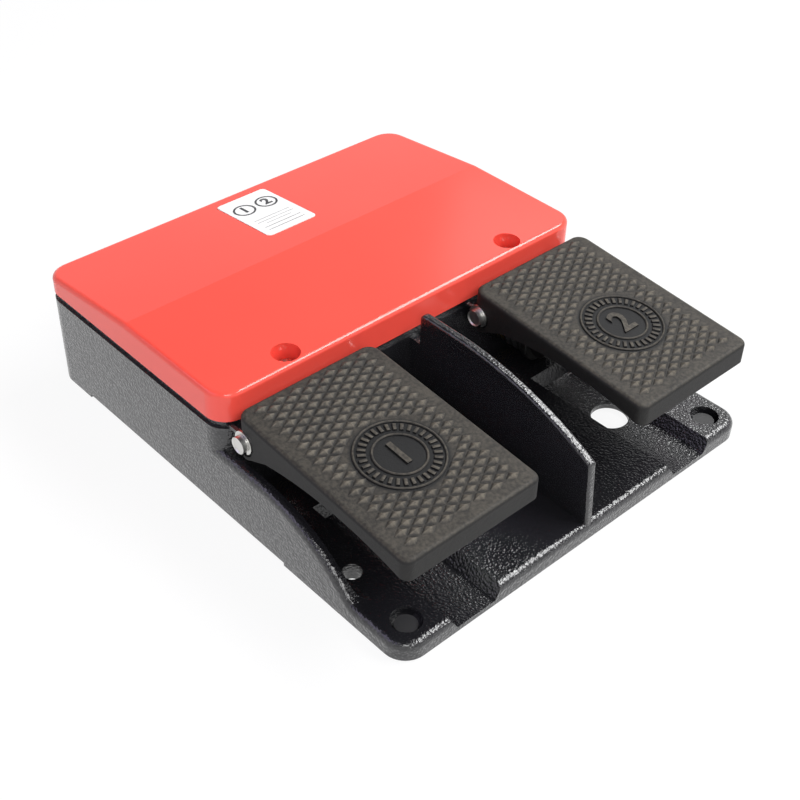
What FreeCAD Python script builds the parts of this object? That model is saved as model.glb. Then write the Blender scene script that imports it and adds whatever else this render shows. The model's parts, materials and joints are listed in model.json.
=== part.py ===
"""Twin foot pedal switch: a cast base with a red cover and two hinged pedals.

Lengths are in millimetres. The bench frame, in which every place below is given, has x across
the switch from its middle, y back from the front edge of the base, and z up from the lower edge
of the casting. The finished part is shifted so that its origin lies under the middle of its
outline, on the surface that the rubber feet stand on.
"""

import FreeCAD, Part
import math
import os
import re
import Sketcher

doc = FreeCAD.newDocument("foot_pedal_switch")
sheet = doc.addObject("Spreadsheet::Sheet", "sizes")

SIZES = {
    # Base casting: outline and walls.
    "base_width": 200,
    "base_depth": 230,
    "corner_radius": 10,
    "wall": 3.5,
    "floor_top": 8,
    "floor_sheet": 2.5,
    "edge_round": 3,
    "skirt_relief": 1.5,
    "relief_front": 68,
    "relief_inset": 26,
    # Box for the switches, behind the tray.
    "box_front": 103.5,
    "box_height": 42.8,
    "rim_height": 2.9,
    "rim_inset": 1.2,
    # Side wings that rise from the tray to the box.
    "wing_wall": 4.5,
    "wing_top": 31.8,
    "wing_start": 25,
    "wing_toe_radius": 10,
    "wing_rise": 45,
    "wing_fillet": 5,
    # Channels in the tray floor.
    "channel_shift": 0.2,
    "channel_top_width": 26.8,
    "channel_bottom_width": 19.6,
    "channel_floor": 2.3,
    "channel_length": 75.5,
    "channel_end": 3.5,
    # Rib between the pedals.
    "rib_thickness": 4,
    "rib_foot": 0.5,
    "rib_front": 3,
    "rib_front_top": 37.5,
    "rib_gap": 5,
    "rib_rise": 13.2,
    "rib_level": 17.5,
    "rib_radius": 160,
    "rib_corner": 2.5,
    "rib_round": 1.2,
    "rib_knuckle": 1.8,
    "rib_knuckle_back": 60,
    "rib_knuckle_length": 13,
    "rib_knuckle_top": 51,
    # Holes in the tray.
    "holes_back": 42.5,
    "drain_shift": 0.6,
    "drain_bore": 16.6,
    "bolt_side": 12.7,
    "bolt_bore": 8,
    "bolt_boss": 16,
    # Rubber feet.
    "foot_side": 12,
    "foot_inset": 11.7,
    "foot_stand": 0.8,
    "foot_disc": 14,
    "foot_recess": 2,
    "foot_web": 2,
    "foot_stem": 6,
    "foot_head": 9.2,
    "foot_head_height": 1.6,
    "foot_well": 12.5,
    "foot_boss": 18,
    "foot_clearance": 0.5,
    # Pedals, about their axles.
    "pedal_side": 3.2,
    "pedal_width": 68,
    "pedal_front": 90.8,
    "pedal_rear": 4,
    "pedal_front_top": 5,
    "pedal_rear_top": 12.6,
    "pedal_front_bottom": 4.6,
    "pedal_plate": 3.2,
    "cheek": 3,
    "cheek_arc_end": 13.5,
    "cheek_arc_drop": 1.9,
    "cheek_arc_radius": 165,
    "hinge_round": 7.4,
    "pedal_rear_corner": 5.5,
    "pedal_front_corner": 4,
    "pedal_edge_round": 1.8,
    "rear_wall_bottom": 6.6,
    "stiffener": 2.5,
    "stiffener_depth": 4.5,
    "stiffener_offset": 17,
    "pedal_travel": 12,
    # Tread on the pedals: rhombic points round a plain disc.
    "tread_width": 8.4,
    "tread_length": 4.89,
    "tread_height": 1.2,
    "tread_groove": 0.5,
    "tread_root": 0.4,
    "tread_margin": 6.8,
    "disc_back": 50.6,
    "disc_radius": 17,
    # Axles and their lugs.
    "axle_gap": 9,
    "axle_rise": 0.6,
    "axle_bore": 7.4,
    "axle_play": 0.1,
    "axle_seat": 0.02,
    "axle_overhang": 2,
    "ring_recess": 12,
    "ring_recess_depth": 1,
    "ring_diameter": 10,
    "ring_thickness": 0.9,
    "ring_groove": 6,
    "ring_play": 0.05,
    "lug_thickness": 5,
    "lug_play": 0.5,
    "lug_radius": 6,
    "lug_drop": 9,
    "stop_height": 1.6,
    # Arm under each pedal and the plunger that it pushes.
    "arm_width": 14,
    "arm_thickness": 8,
    "arm_play": 0.15,
    "plunger_height": 19,
    "plunger_reach": 17.5,
    "plunger_head": 20.5,
    "plunger_head_depth": 3,
    "plunger_rod": 8,
    "plunger_play": 0.1,
    "landing_gap": 0.25,
    "collar_width": 2.4,
    "collar_diameter": 14,
    "collar_groove": 0.5,
    "collar_play": 0.1,
    # Guide bush, its nut and the bellows.
    "bush_thread": 12,
    "bush_flange": 17,
    "bush_flange_depth": 2,
    "bush_tail": 6,
    "bush_nut_flats": 17,
    "bush_nut_depth": 4,
    "thread_play": 0.05,
    "boot_outside": 19,
    "boot_valley": 16,
    "boot_wall": 1.1,
    "boot_folds": 3,
    # Return springs.
    "spring_wire": 1.2,
    "spring_diameter": 11.8,
    "spring_turns": 7,
    "spring_seat": 0.05,
    # Switch units.
    "switch_gap": 36.5,
    "switch_width": 28,
    "switch_length": 50,
    "switch_height": 26,
    "terminal_height": 18,
    "terminal_length": 22,
    "terminal_pitch": 6.4,
    "terminal_screw": 4.6,
    "ear_width": 8,
    "ear_length": 11,
    "ear_height": 4,
    "ear_back": 10,
    "button_diameter": 6,
    "button_flange": 8.6,
    "button_flange_depth": 2,
    "button_gap": 0.2,
    "button_spare": 0.4,
    "button_play": 0.1,
    # Screws.
    "screw_thread": 4,
    "screw_head": 8,
    "screw_head_depth": 2.8,
    "screw_slot": 1,
    "mount_screw_length": 8,
    "floor_boss": 8,
    "earth_gap": 10,
    "earth_boss": 11,
    "earth_boss_height": 3,
    "washer_depth": 0.8,
    # Cover and its gasket.
    "gasket": 0.5,
    "cover_height": 13.5,
    "cover_slope": 62,
    "cover_rear_height": 7.3,
    "cover_wall": 3,
    "cover_edge_round": 2.2,
    "cover_screw_side": 37.8,
    "cover_screw_inset": 7.6,
    "cover_well": 12,
    "cover_seat_height": 3.6,
    "cover_screw_length": 14,
    "cover_boss": 9,
    "cover_boss_length": 12.7,
    "tongue_side": 40,
    "tongue_width": 16,
    "tongue_depth": 10,
    "tongue_barb": 1.5,
    "tongue_barb_height": 3,
    "tongue_play": 0.3,
    "label_width": 27.3,
    "label_length": 40,
    "label_rear": 7,
    "label_thickness": 0.3,
    "label_corner": 2,
    # Cable gland in the rear wall.
    "gland_height": 21.5,
    "gland_thread": 20,
    "gland_play": 0.1,
    "gland_bore": 11,
    "gland_flats": 24,
    "gland_hex_depth": 6,
    "gland_neck": 16,
    "gland_neck_depth": 7,
    "gland_nut_depth": 18,
    "gland_mouth": 10.5,
    "gland_lip": 2,
    "seal_bore": 9,
    "seal_length": 8,
    "locknut_flats": 26,
    "locknut_depth": 4,
}

for row, (alias, number) in enumerate(SIZES.items(), 1):
    sheet.set(f"A{row}", alias)
    sheet.set(f"B{row}", str(number))
    sheet.setAlias(f"B{row}", alias)
doc.recompute()

# Places that follow from the sizes above, so that one change of size moves all that belongs to it.
TIES = {
    "overall_depth": "base_depth + gland_hex_depth + gland_nut_depth",
    "rim_top": "box_height + rim_height",
    "relief_rear": "base_depth - relief_inset",
    "foot_offset": "base_width / 2 - foot_side",
    "bolt_offset": "base_width / 2 - bolt_side",
    "pedal_offset": "base_width / 2 - pedal_side - pedal_width / 2",
    "channel_offset": "pedal_offset + channel_shift",
    "drain_offset": "pedal_offset - drain_shift",
    "axle_back": "box_front - axle_gap",
    "axle_height": "box_height + axle_rise",
    "rib_rear": "box_front - rib_gap",
    "rib_top": "axle_height + rib_rise",
    "rib_level_from": "rib_rear - rib_level",
    "pedal_slope": "(pedal_rear_top - pedal_front_top) / (pedal_front + pedal_rear)",
    # The arm turns with the pedal, so its end goes back by a sine and by the rest of its own reach.
    "plunger_front": "box_front - plunger_reach",
    "plunger_travel": "(axle_height - plunger_height) * sin(pedal_travel * 1 deg) + landing_gap"
                      " + (axle_back - plunger_front + arm_play + arm_thickness / 2)"
                      " * (1 - cos(pedal_travel * 1 deg))",
    # The plunger's head lands on the nose of the bush at full travel, and its collar stays behind the tail.
    "bush_nose": "plunger_front + plunger_head_depth + plunger_travel",
    "collar_front": "box_front + wall + bush_tail + collar_play",
    "switch_front": "box_front + switch_gap",
    "button_stroke": "plunger_travel + button_spare",
    "earth_back": "switch_front + earth_gap",
    "cover_bottom": "rim_top + gasket",
    "cover_top": "cover_bottom + cover_height",
    "cover_rear_top": "cover_bottom + cover_rear_height",
    "cover_crease": "base_depth - cover_slope",
    "cover_seat": "rim_top + cover_seat_height",
    "cover_screw_offset": "base_width / 2 - cover_screw_side",
    "cover_boss_bottom": "rim_top - cover_boss_length",
    "tongue_offset": "base_width / 2 - tongue_side",
}
SIDES = {"left": "-1", "right": "1"}
TURNS = {
    "x": FreeCAD.Rotation(FreeCAD.Vector(0, 1, 0), 90),
    "y": FreeCAD.Rotation(FreeCAD.Vector(1, 0, 0), -90),
    "z": FreeCAD.Rotation(),
}


def spell(formula):
    """Write a formula out until it holds only names of the sheet."""
    while True:
        spelled = re.sub(r"[a-z]\w*", lambda w: f"({TIES[w[0]]})" if w[0] in TIES else w[0], formula)
        if spelled == formula:
            return spelled
        formula = spelled


def value(formula):
    """Work out a formula written in the names of the sizes and ties."""
    result = sheet.evalExpression(spell(formula))
    return float(getattr(result, "Value", result))


def bind(thing, field, formula):
    """Tie one property of an object to a formula in the names of the sizes and ties."""
    named = re.sub(r"[a-z]\w*", lambda w: "sizes." + w[0] if w[0] in SIZES else w[0], spell(formula))
    thing.setExpression(field, named)


def new_body(label, x="0", y="0", z="0"):
    """Start a sub-part whose own origin lies at x, y, z of the bench frame."""
    body = doc.addObject("PartDesign::Body", label)
    body.Label = label
    body.AllowCompound = True
    bind(body, "Placement.Base.x", x)
    bind(body, "Placement.Base.y", f"{y} - overall_depth / 2")
    bind(body, "Placement.Base.z", f"{z} + foot_stand")
    return body


def new_sketch(body, name, plane, level):
    """Start a sketch on a plane of the body, raised off that plane by level."""
    sketch = body.newObject("Sketcher::SketchObject", name)
    planes = {feature.Role: feature for feature in body.Origin.OriginFeatures}
    sketch.AttachmentSupport = [(planes[plane + "_Plane"], "")]
    sketch.MapMode = "FlatFace"
    bind(sketch, "AttachmentOffset.Base.z", level)
    return sketch


def circles(body, name, plane, spots, level="0"):
    """Draw circles, each given by its centre and its diameter."""
    sketch = new_sketch(body, name, plane, level)
    for index, (across, up, diameter) in enumerate(spots):
        centre = FreeCAD.Vector(value(across), value(up), 0)
        radius = value(diameter) / 2
        sketch.addGeometry(Part.Circle(centre, FreeCAD.Vector(0, 0, 1), radius))
        for kind, formula, number in (("DistanceX", across, centre.x), ("DistanceY", up, centre.y)):
            place = Sketcher.Constraint(kind, -1, 1, index, 3, number)
            bind(sketch, f"Constraints[{sketch.addConstraint(place)}]", formula)
        size = Sketcher.Constraint("Radius", index, radius)
        bind(sketch, f"Constraints[{sketch.addConstraint(size)}]", f"({diameter}) / 2")
    return sketch


def outline(body, name, plane, corners, level="0"):
    """Draw a closed outline on a plane of the body, raised off that plane by level.

    A corner is (across, up). With a radius and a side (1 left, -1 right of the way to the next
    corner) it starts an arc that bulges to that side.
    """
    sketch = new_sketch(body, name, plane, level)
    spots = [FreeCAD.Vector(value(corner[0]), value(corner[1]), 0) for corner in corners]
    ends = []
    for index, corner in enumerate(corners):
        start = spots[index]
        end = spots[(index + 1) % len(spots)]
        if len(corner) == 2:
            sketch.addGeometry(Part.LineSegment(start, end))
            ends.append((1, 2))
            continue
        radius = value(corner[2])
        side = corner[3]
        chord = end - start
        left = FreeCAD.Vector(-chord.y, chord.x, 0).normalize()
        reach = math.sqrt(max(radius ** 2 - chord.Length ** 2 / 4, 0))
        centre = start + chord * 0.5 - left * (side * reach)
        first, second = (end, start) if side > 0 else (start, end)
        begin = math.atan2(first.y - centre.y, first.x - centre.x)
        finish = math.atan2(second.y - centre.y, second.x - centre.x)
        circle = Part.Circle(centre, FreeCAD.Vector(0, 0, 1), radius)
        sketch.addGeometry(Part.ArcOfCircle(circle, begin, finish + (math.tau if finish < begin else 0)))
        ends.append((2, 1) if side > 0 else (1, 2))
    for index, corner in enumerate(corners):
        before = index - 1 if index else len(corners) - 1
        meet = Sketcher.Constraint("Coincident", before, ends[before][1], index, ends[index][0])
        sketch.addConstraint(meet)
        for kind, formula in (("DistanceX", corner[0]), ("DistanceY", corner[1])):
            place = Sketcher.Constraint(kind, -1, 1, index, ends[index][0], value(formula))
            bind(sketch, f"Constraints[{sketch.addConstraint(place)}]", formula)
        if len(corner) > 2:
            size = Sketcher.Constraint("Radius", index, value(corner[2]))
            bind(sketch, f"Constraints[{sketch.addConstraint(size)}]", corner[2])
    return sketch


def rectangle(x_low, x_high, y_low, y_high):
    """Give the four corners of a rectangle."""
    return [(x_low, y_low), (x_high, y_low), (x_high, y_high), (x_low, y_high)]


def rounded_rectangle(x_low, x_high, y_low, y_high, radius):
    """Give the corners of a rectangle with round corners, anticlockwise."""
    return [
        (f"{x_low} + {radius}", y_low),
        (f"{x_high} - {radius}", y_low, radius, -1),
        (x_high, f"{y_low} + {radius}"),
        (x_high, f"{y_high} - {radius}", radius, -1),
        (f"{x_high} - {radius}", y_high),
        (f"{x_low} + {radius}", y_high, radius, -1),
        (x_low, f"{y_high} - {radius}"),
        (x_low, f"{y_low} + {radius}", radius, -1),
    ]


def hexagon(flats, x="0", y="0"):
    """Give the corners of a hexagon of that width across its flats."""
    corner = f"{flats} / 2 / cos(30 deg)"
    return [(f"{x} + {corner} * cos({angle} deg)", f"{y} + {corner} * sin({angle} deg)")
            for angle in range(0, 360, 60)]


def pad(body, sketch, length, middle=False):
    """Raise an outline into a solid, to one side of its plane or half to each."""
    feature = body.newObject("PartDesign::Pad", sketch.Name + "_pad")
    feature.Profile = sketch
    feature.SideType = "Symmetric" if middle else "One side"
    bind(feature, "Length", length)
    return feature


def pocket(body, sketch, length, middle=False, upward=False):
    """Cut an outline out of the solid and make sure that something was cut."""
    doc.recompute()
    before = body.Shape.Volume
    feature = body.newObject("PartDesign::Pocket", sketch.Name + "_pocket")
    feature.Profile = sketch
    feature.SideType = "Symmetric" if middle else "One side"
    feature.Reversed = upward
    bind(feature, "Length", length)
    doc.recompute()
    if body.Shape.Volume > before - 1:
        raise RuntimeError(f"{body.Label}: {sketch.Name} cuts nothing")
    return feature


def turn(body, name, plane, corners, axis="H_Axis"):
    """Turn a half outline into a round solid about its own horizontal or vertical axis."""
    sketch = outline(body, name, plane, corners)
    feature = body.newObject("PartDesign::Revolution", name + "_turned")
    feature.Profile = sketch
    feature.ReferenceAxis = (sketch, [axis])
    feature.Angle = 360
    return feature


def cylinder(body, name, diameter, length, x="0", y="0", z="0", along="z", cut=False):
    """Add or cut a cylinder that starts at x, y, z and runs along an axis."""
    kind = "Subtractive" if cut else "Additive"
    feature = body.newObject(f"PartDesign::{kind}Cylinder", name)
    feature.Refine = False
    feature.Placement = FreeCAD.Placement(FreeCAD.Vector(), TURNS[along])
    bind(feature, "Radius", f"({diameter}) / 2")
    bind(feature, "Height", length)
    for axis, formula in (("x", x), ("y", y), ("z", z)):
        bind(feature, f"Placement.Base.{axis}", formula)
    return feature


def block(body, name, low, high, cut=False):
    """Add or cut a block between two corners."""
    kind = "Subtractive" if cut else "Additive"
    feature = body.newObject(f"PartDesign::{kind}Box", name)
    feature.Refine = False
    for size, axis, near, far in zip(("Length", "Width", "Height"), "xyz", low, high):
        bind(feature, size, f"({far}) - ({near})")
        bind(feature, f"Placement.Base.{axis}", near)
    return feature


def round_edges(body, name, radius, chosen):
    """Round the edges of the newest shape that the test picks."""
    doc.recompute()
    base = body.Tip
    names = [f"Edge{number}" for number, edge in enumerate(base.Shape.Edges, 1) if chosen(edge)]
    feature = body.newObject("PartDesign::Fillet", name)
    feature.Base = (base, names)
    bind(feature, "Radius", radius)
    doc.recompute()
    return feature


def near(a, b):
    """Say whether two lengths are the same within a hundredth."""
    return abs(a - b) < 0.01


def upright_at(edge, spots):
    """Say whether an edge stands upright at one of the (x, y) spots."""
    box = edge.BoundBox
    if box.XLength > 0.01 or box.YLength > 0.01:
        return False
    return any(near(box.XMin, x) and near(box.YMin, y) for x, y in spots)


def base_shell(body):
    """The casting's outside: tray, wings and box."""
    half = "base_width / 2"
    plan = outline(body, "base_plan", "XY",
                   rounded_rectangle(f"-{half}", half, "0", "base_depth", "corner_radius"))
    pad(body, plan, "box_height")
    inner = "(base_width / 2 - wing_wall)"
    tray = outline(body, "tray_section", "XZ", [
        (f"-{inner} + wing_fillet", "floor_top"),
        (f"{inner} - wing_fillet", "floor_top", "wing_fillet", -1),
        (inner, "floor_top + wing_fillet"),
        (inner, "box_height + 1"),
        (f"-{inner}", "box_height + 1"),
        (f"-{inner}", "floor_top + wing_fillet", "wing_fillet", -1),
    ])
    pocket(body, tray, "box_front")
    toe = "wing_toe_radius"
    drop = "(1 - cos(wing_rise * 1 deg))"
    sweep = f"((wing_top - floor_top - {toe} * {drop}) / {drop})"
    bend = f"(wing_start + {toe} * sin(wing_rise * 1 deg))"
    wings = outline(body, "wing_tops", "YZ", [
        ("-1", "floor_top"),
        ("wing_start", "floor_top", toe, -1),
        (bend, f"floor_top + {toe} * {drop}", sweep, 1),
        (f"{bend} + {sweep} * sin(wing_rise * 1 deg)", "wing_top"),
        ("box_front", "wing_top"),
        ("box_front", "box_height + 1"),
        ("-1", "box_height + 1"),
    ])
    pocket(body, wings, "base_width + 2", middle=True)
    front = "box_front"
    back = "(box_front + corner_radius)"
    left = outline(body, "left_box_corner", "XY", [
        (f"-{half}", back, "corner_radius", -1),
        (f"-{half} + corner_radius", front),
        (f"-{half} + corner_radius", f"{front} - 1"),
        (f"-{half} - 1", f"{front} - 1"),
        (f"-{half} - 1", back),
    ], "wing_top")
    pocket(body, left, "box_height", upward=True)
    right = outline(body, "right_box_corner", "XY", [
        (f"{half} - corner_radius", front, "corner_radius", -1),
        (half, back),
        (f"{half} + 1", back),
        (f"{half} + 1", f"{front} - 1"),
        (f"{half} - corner_radius", f"{front} - 1"),
    ], "wing_top")
    pocket(body, right, "box_height", upward=True)


def base_box(body):
    """The rim that the cover sits on, and the hollow for the switches."""
    half = "(base_width / 2 - rim_inset)"
    rim = outline(body, "rim_plan", "XY",
                  rounded_rectangle(f"-{half}", half, "box_front + rim_inset", "base_depth - rim_inset",
                                    "(corner_radius - rim_inset)"), "box_height")
    pad(body, rim, "rim_top - box_height")
    inner = "(base_width / 2 - wall)"
    hollow = outline(body, "box_hollow", "XY",
                     rounded_rectangle(f"-{inner}", inner, "box_front + wall", "base_depth - wall",
                                       "(corner_radius - wall)"), "floor_top")
    pocket(body, hollow, "rim_top", upward=True)


def base_underside(body):
    """Bays under the floor, with bosses left for the feet, bolts and screws."""
    inner = "(base_width / 2 - wall)"
    ceiling = "floor_top - floor_sheet"
    flank = "(channel_offset + channel_top_width / 2 + floor_sheet)"
    middle = "(channel_offset - channel_top_width / 2 - floor_sheet)"
    end = "channel_length + channel_end + floor_sheet"
    bays = {
        "middle_bay": (f"-{middle}", middle, "wall", end),
        "left_bay": (f"-{inner}", f"-{flank}", "wall", end),
        "right_bay": (flank, inner, "wall", end),
        "rear_bay": (f"-{inner}", inner, f"{end} + floor_sheet", "base_depth - wall"),
    }
    for name, (x_low, x_high, y_low, y_high) in bays.items():
        plan = outline(body, name, "XY", rectangle(x_low, x_high, y_low, y_high))
        pocket(body, plan, ceiling, upward=True)
    bosses = [(x, y, "foot_boss") for x, y in foot_spots()]
    bosses += [(f"{sign} * bolt_offset", "holes_back", "bolt_boss") for sign in SIDES.values()]
    bosses += [(x, y, "floor_boss") for x, y in ear_spots()]
    pad(body, circles(body, "floor_bosses", "XY", bosses), ceiling)
    for side, sign in SIDES.items():
        block(body, f"{side}_skirt_relief",
              (f"{sign} * (base_width / 2 - wall / 2) - wall", "relief_front", "-1"),
              (f"{sign} * (base_width / 2 - wall / 2) + wall", "relief_rear", "skirt_relief"), cut=True)


def foot_spots():
    """Where the four feet stand."""
    return [(f"{sign} * foot_offset", back) for sign in SIDES.values()
            for back in ("foot_inset", "(base_depth - foot_inset)")]


def ear_spots():
    """Where the fixing screws of the two switch units stand."""
    return [(f"({sign} * pedal_offset + {ear} * (switch_width / 2 + ear_width / 2))",
             "(switch_front + ear_back)") for sign in SIDES.values() for ear in ("-1", "1")]


def base_rib(body):
    """The rib that keeps the two pedals apart."""
    foot = "floor_top - edge_round"
    side = outline(body, "rib_side", "YZ", [
        ("rib_foot", foot),
        ("box_front + wall / 2", foot),
        ("box_front + wall / 2", "box_height - 1"),
        ("rib_rear", "box_height - 1"),
        ("rib_rear", "rib_top - rib_corner", "rib_corner", -1),
        ("rib_rear - rib_corner", "rib_top"),
        ("rib_level_from", "rib_top", "rib_radius", -1),
        ("rib_front", "rib_front_top"),
    ])
    pad(body, side, "rib_thickness", middle=True)
    flank = value("rib_thickness / 2")
    floor = value("floor_top")
    rear = value("rib_rear")
    nose = value("rib_front")

    def upper(edge):
        box = edge.BoundBox
        along = near(abs(box.XMin), flank) and box.XLength < 0.01
        across = near(box.XLength, 2 * flank) and near(box.YMin, nose) and box.YLength < 0.01
        return (along or across) and box.ZMax > floor + 1 and box.YMax < rear + 0.01 and box.ZMin > floor - 6

    round_edges(body, "rib_edges", "rib_round", upper)
    knuckle = outline(body, "rib_knuckle", "XY", [
        ("rib_thickness / 2 - 1", "rib_knuckle_back"),
        ("rib_thickness / 2 - 1", "rib_knuckle_back - rib_knuckle_length"),
        ("rib_thickness / 2", "rib_knuckle_back - rib_knuckle_length"),
        ("rib_thickness / 2 + rib_knuckle", "rib_knuckle_back - rib_knuckle_length * 0.6"),
        ("rib_thickness / 2", "rib_knuckle_back"),
    ], foot)
    pad(body, knuckle, f"rib_knuckle_top - ({foot})")


def base_lugs(body):
    """Two lugs for each axle, and two stops that each pedal rests against."""
    reach = "(pedal_width / 2 - cheek - lug_play)"
    half_stop = "((cheek - ring_recess_depth - 2 * axle_play) / 2)"
    for side, sign in SIDES.items():
        for place, inward in (("inner", "-1"), ("outer", "1")):
            name = f"{side}_{place}"
            middle = f"({sign} * (pedal_offset + {inward} * ({reach} - lug_thickness / 2)))"
            lug = outline(body, f"{name}_lug", "YZ", [
                ("axle_back", "axle_height + lug_radius", "lug_radius", -1),
                ("axle_back - lug_radius", "axle_height", "lug_radius", -1),
                ("axle_back", "axle_height - lug_radius"),
                ("box_front + wall / 2", "axle_height - lug_drop"),
                ("box_front + wall / 2", "axle_height"),
                ("axle_back + lug_radius", "axle_height", "lug_radius", -1),
            ], f"{middle} - lug_thickness / 2")
            pad(body, lug, "lug_thickness").Refine = False
            centre = f"({sign} * (pedal_offset + {inward} * (pedal_width / 2 - cheek + {half_stop})))"
            block(body, f"{name}_stop",
                  (f"{centre} - {half_stop}", "axle_back + pedal_rear + arm_play", "axle_height + axle_play"),
                  (f"{centre} + {half_stop}", "box_front + wall", "axle_height + axle_play + stop_height"))
        cylinder(body, f"{side}_lug_bore", "axle_bore - 2 * axle_play + 2 * axle_seat", "pedal_width",
                 f"{sign} * pedal_offset - pedal_width / 2", "axle_back", "axle_height", "x", cut=True)


def base_channels(body):
    """A channel in the floor under each pedal, with sloped sides and a sloped end."""
    for side, sign in SIDES.items():
        cut = body.newObject("PartDesign::SubtractiveWedge", f"{side}_channel")
        cut.Placement = FreeCAD.Placement(FreeCAD.Vector(), FreeCAD.Rotation(FreeCAD.Vector(1, 0, 0), 90))
        bind(cut, "Placement.Base.x", f"{sign} * channel_offset")
        bind(cut, "Placement.Base.z", "channel_floor")
        half = "channel_bottom_width / 2"
        wide = "channel_top_width / 2"
        limits = {
            "Xmin": f"-{half}", "Xmax": half, "X2min": f"-{wide}", "X2max": wide,
            "Ymin": "0", "Ymax": "floor_top - channel_floor",
            "Zmin": "-channel_length", "Zmax": "1",
            "Z2min": "-channel_length - channel_end", "Z2max": "1",
        }
        for field, formula in limits.items():
            bind(cut, field, formula)


def base_holes(body):
    """Holes through the floor and the walls, and the bosses inside the box."""
    feet = foot_spots()
    through = [(f"{sign} * drain_offset", "holes_back", "drain_bore") for sign in SIDES.values()]
    through += [(f"{sign} * bolt_offset", "holes_back", "bolt_bore") for sign in SIDES.values()]
    pocket(body, circles(body, "floor_holes", "XY", through), "wing_top", upward=True)
    seats = [(x, y, "foot_disc + 2 * foot_clearance") for x, y in feet]
    pocket(body, circles(body, "foot_seats", "XY", seats), "foot_recess", upward=True)
    stems = [(x, y, "foot_stem") for x, y in feet]
    pocket(body, circles(body, "foot_holes", "XY", stems), "floor_top", upward=True)
    wells = [(x, y, "foot_well") for x, y in feet]
    pocket(body, circles(body, "foot_wells", "XY", wells, "foot_recess + foot_web"), "wing_top", upward=True)
    cylinder(body, "earth_boss", "earth_boss", "earth_boss_height", "0", "earth_back", "floor_top")
    cover_bosses(body)
    fixing = "screw_thread + 2 * thread_play"
    screws_down = [(x, y, fixing) for x, y in ear_spots() + [("0", "earth_back")]]
    pocket(body, circles(body, "screw_holes", "XY", screws_down, "channel_floor"), "wing_top", upward=True)
    bushes = [(f"{sign} * pedal_offset", "plunger_height", "bush_thread + 2 * thread_play")
              for sign in SIDES.values()]
    pocket(body, circles(body, "bush_holes", "XZ", bushes, "-box_front - wall - 1"), "wall + 2", upward=True)
    gland = [("0", "gland_height", "gland_thread + 2 * gland_play")]
    pocket(body, circles(body, "gland_hole", "XZ", gland, "-base_depth - 1"), "wall + 2", upward=True)
    for side, sign in SIDES.items():
        tongue = f"{sign} * tongue_offset"
        block(body, f"{side}_tongue_slot",
              (f"{tongue} - tongue_width / 2 - tongue_play", "base_depth - wall - 1",
               "cover_bottom - tongue_depth - tongue_play"),
              (f"{tongue} + tongue_width / 2 + tongue_play", "base_depth - wall + tongue_barb + tongue_play",
               "cover_bottom - tongue_depth + tongue_barb_height + tongue_play"), cut=True)


def cover_bosses(body):
    """Two bosses behind the front wall, tapped for the screws of the cover."""
    back = "(box_front + cover_screw_inset)"
    half = "(cover_boss / 2)"
    for side, sign in SIDES.items():
        across = f"({sign} * cover_screw_offset)"
        boss = outline(body, f"{side}_cover_boss", "XY", [
            (f"{across} - {half}", "box_front + wall / 2"),
            (f"{across} + {half}", "box_front + wall / 2"),
            (f"{across} + {half}", back, half, -1),
            (across, f"{back} + {half}", half, -1),
            (f"{across} - {half}", back),
        ], "cover_boss_bottom")
        pad(body, boss, "rim_top - cover_boss_bottom")
    taps = [(f"{sign} * cover_screw_offset", back, "screw_thread + 2 * thread_play")
            for sign in SIDES.values()]
    pocket(body, circles(body, "cover_taps", "XY", taps, "cover_boss_bottom + 1"), "rim_top", upward=True)


def base_edges(body):
    """Rounded outer edges of the tray and the wings."""
    side = value("base_width / 2")
    floor = value("floor_top")
    limit = value("box_front")

    def outer(edge):
        box = edge.BoundBox
        if box.ZMin < floor - 0.01 or box.YMax > limit + 0.01 or box.ZMax > value("wing_top") + 0.01:
            return False
        on_side = box.XLength < 0.01 and near(abs(box.XMin), side)
        on_front = box.YLength < 0.01 and near(box.YMin, 0) and near(box.ZMax, floor)
        corner = near(box.ZMax, floor) and near(max(abs(box.XMin), abs(box.XMax)), side) and near(box.YMin, 0)
        return on_side or on_front or corner

    round_edges(body, "tray_edges", "edge_round", outer)


def base_casting():
    """The cast base: tray, wings, rib, lugs and the box for the switches."""
    body = new_body("base_casting")
    base_shell(body)
    base_edges(body)
    base_box(body)
    base_underside(body)
    base_rib(body)
    base_lugs(body)
    base_channels(body)
    base_holes(body)
    return body


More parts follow.
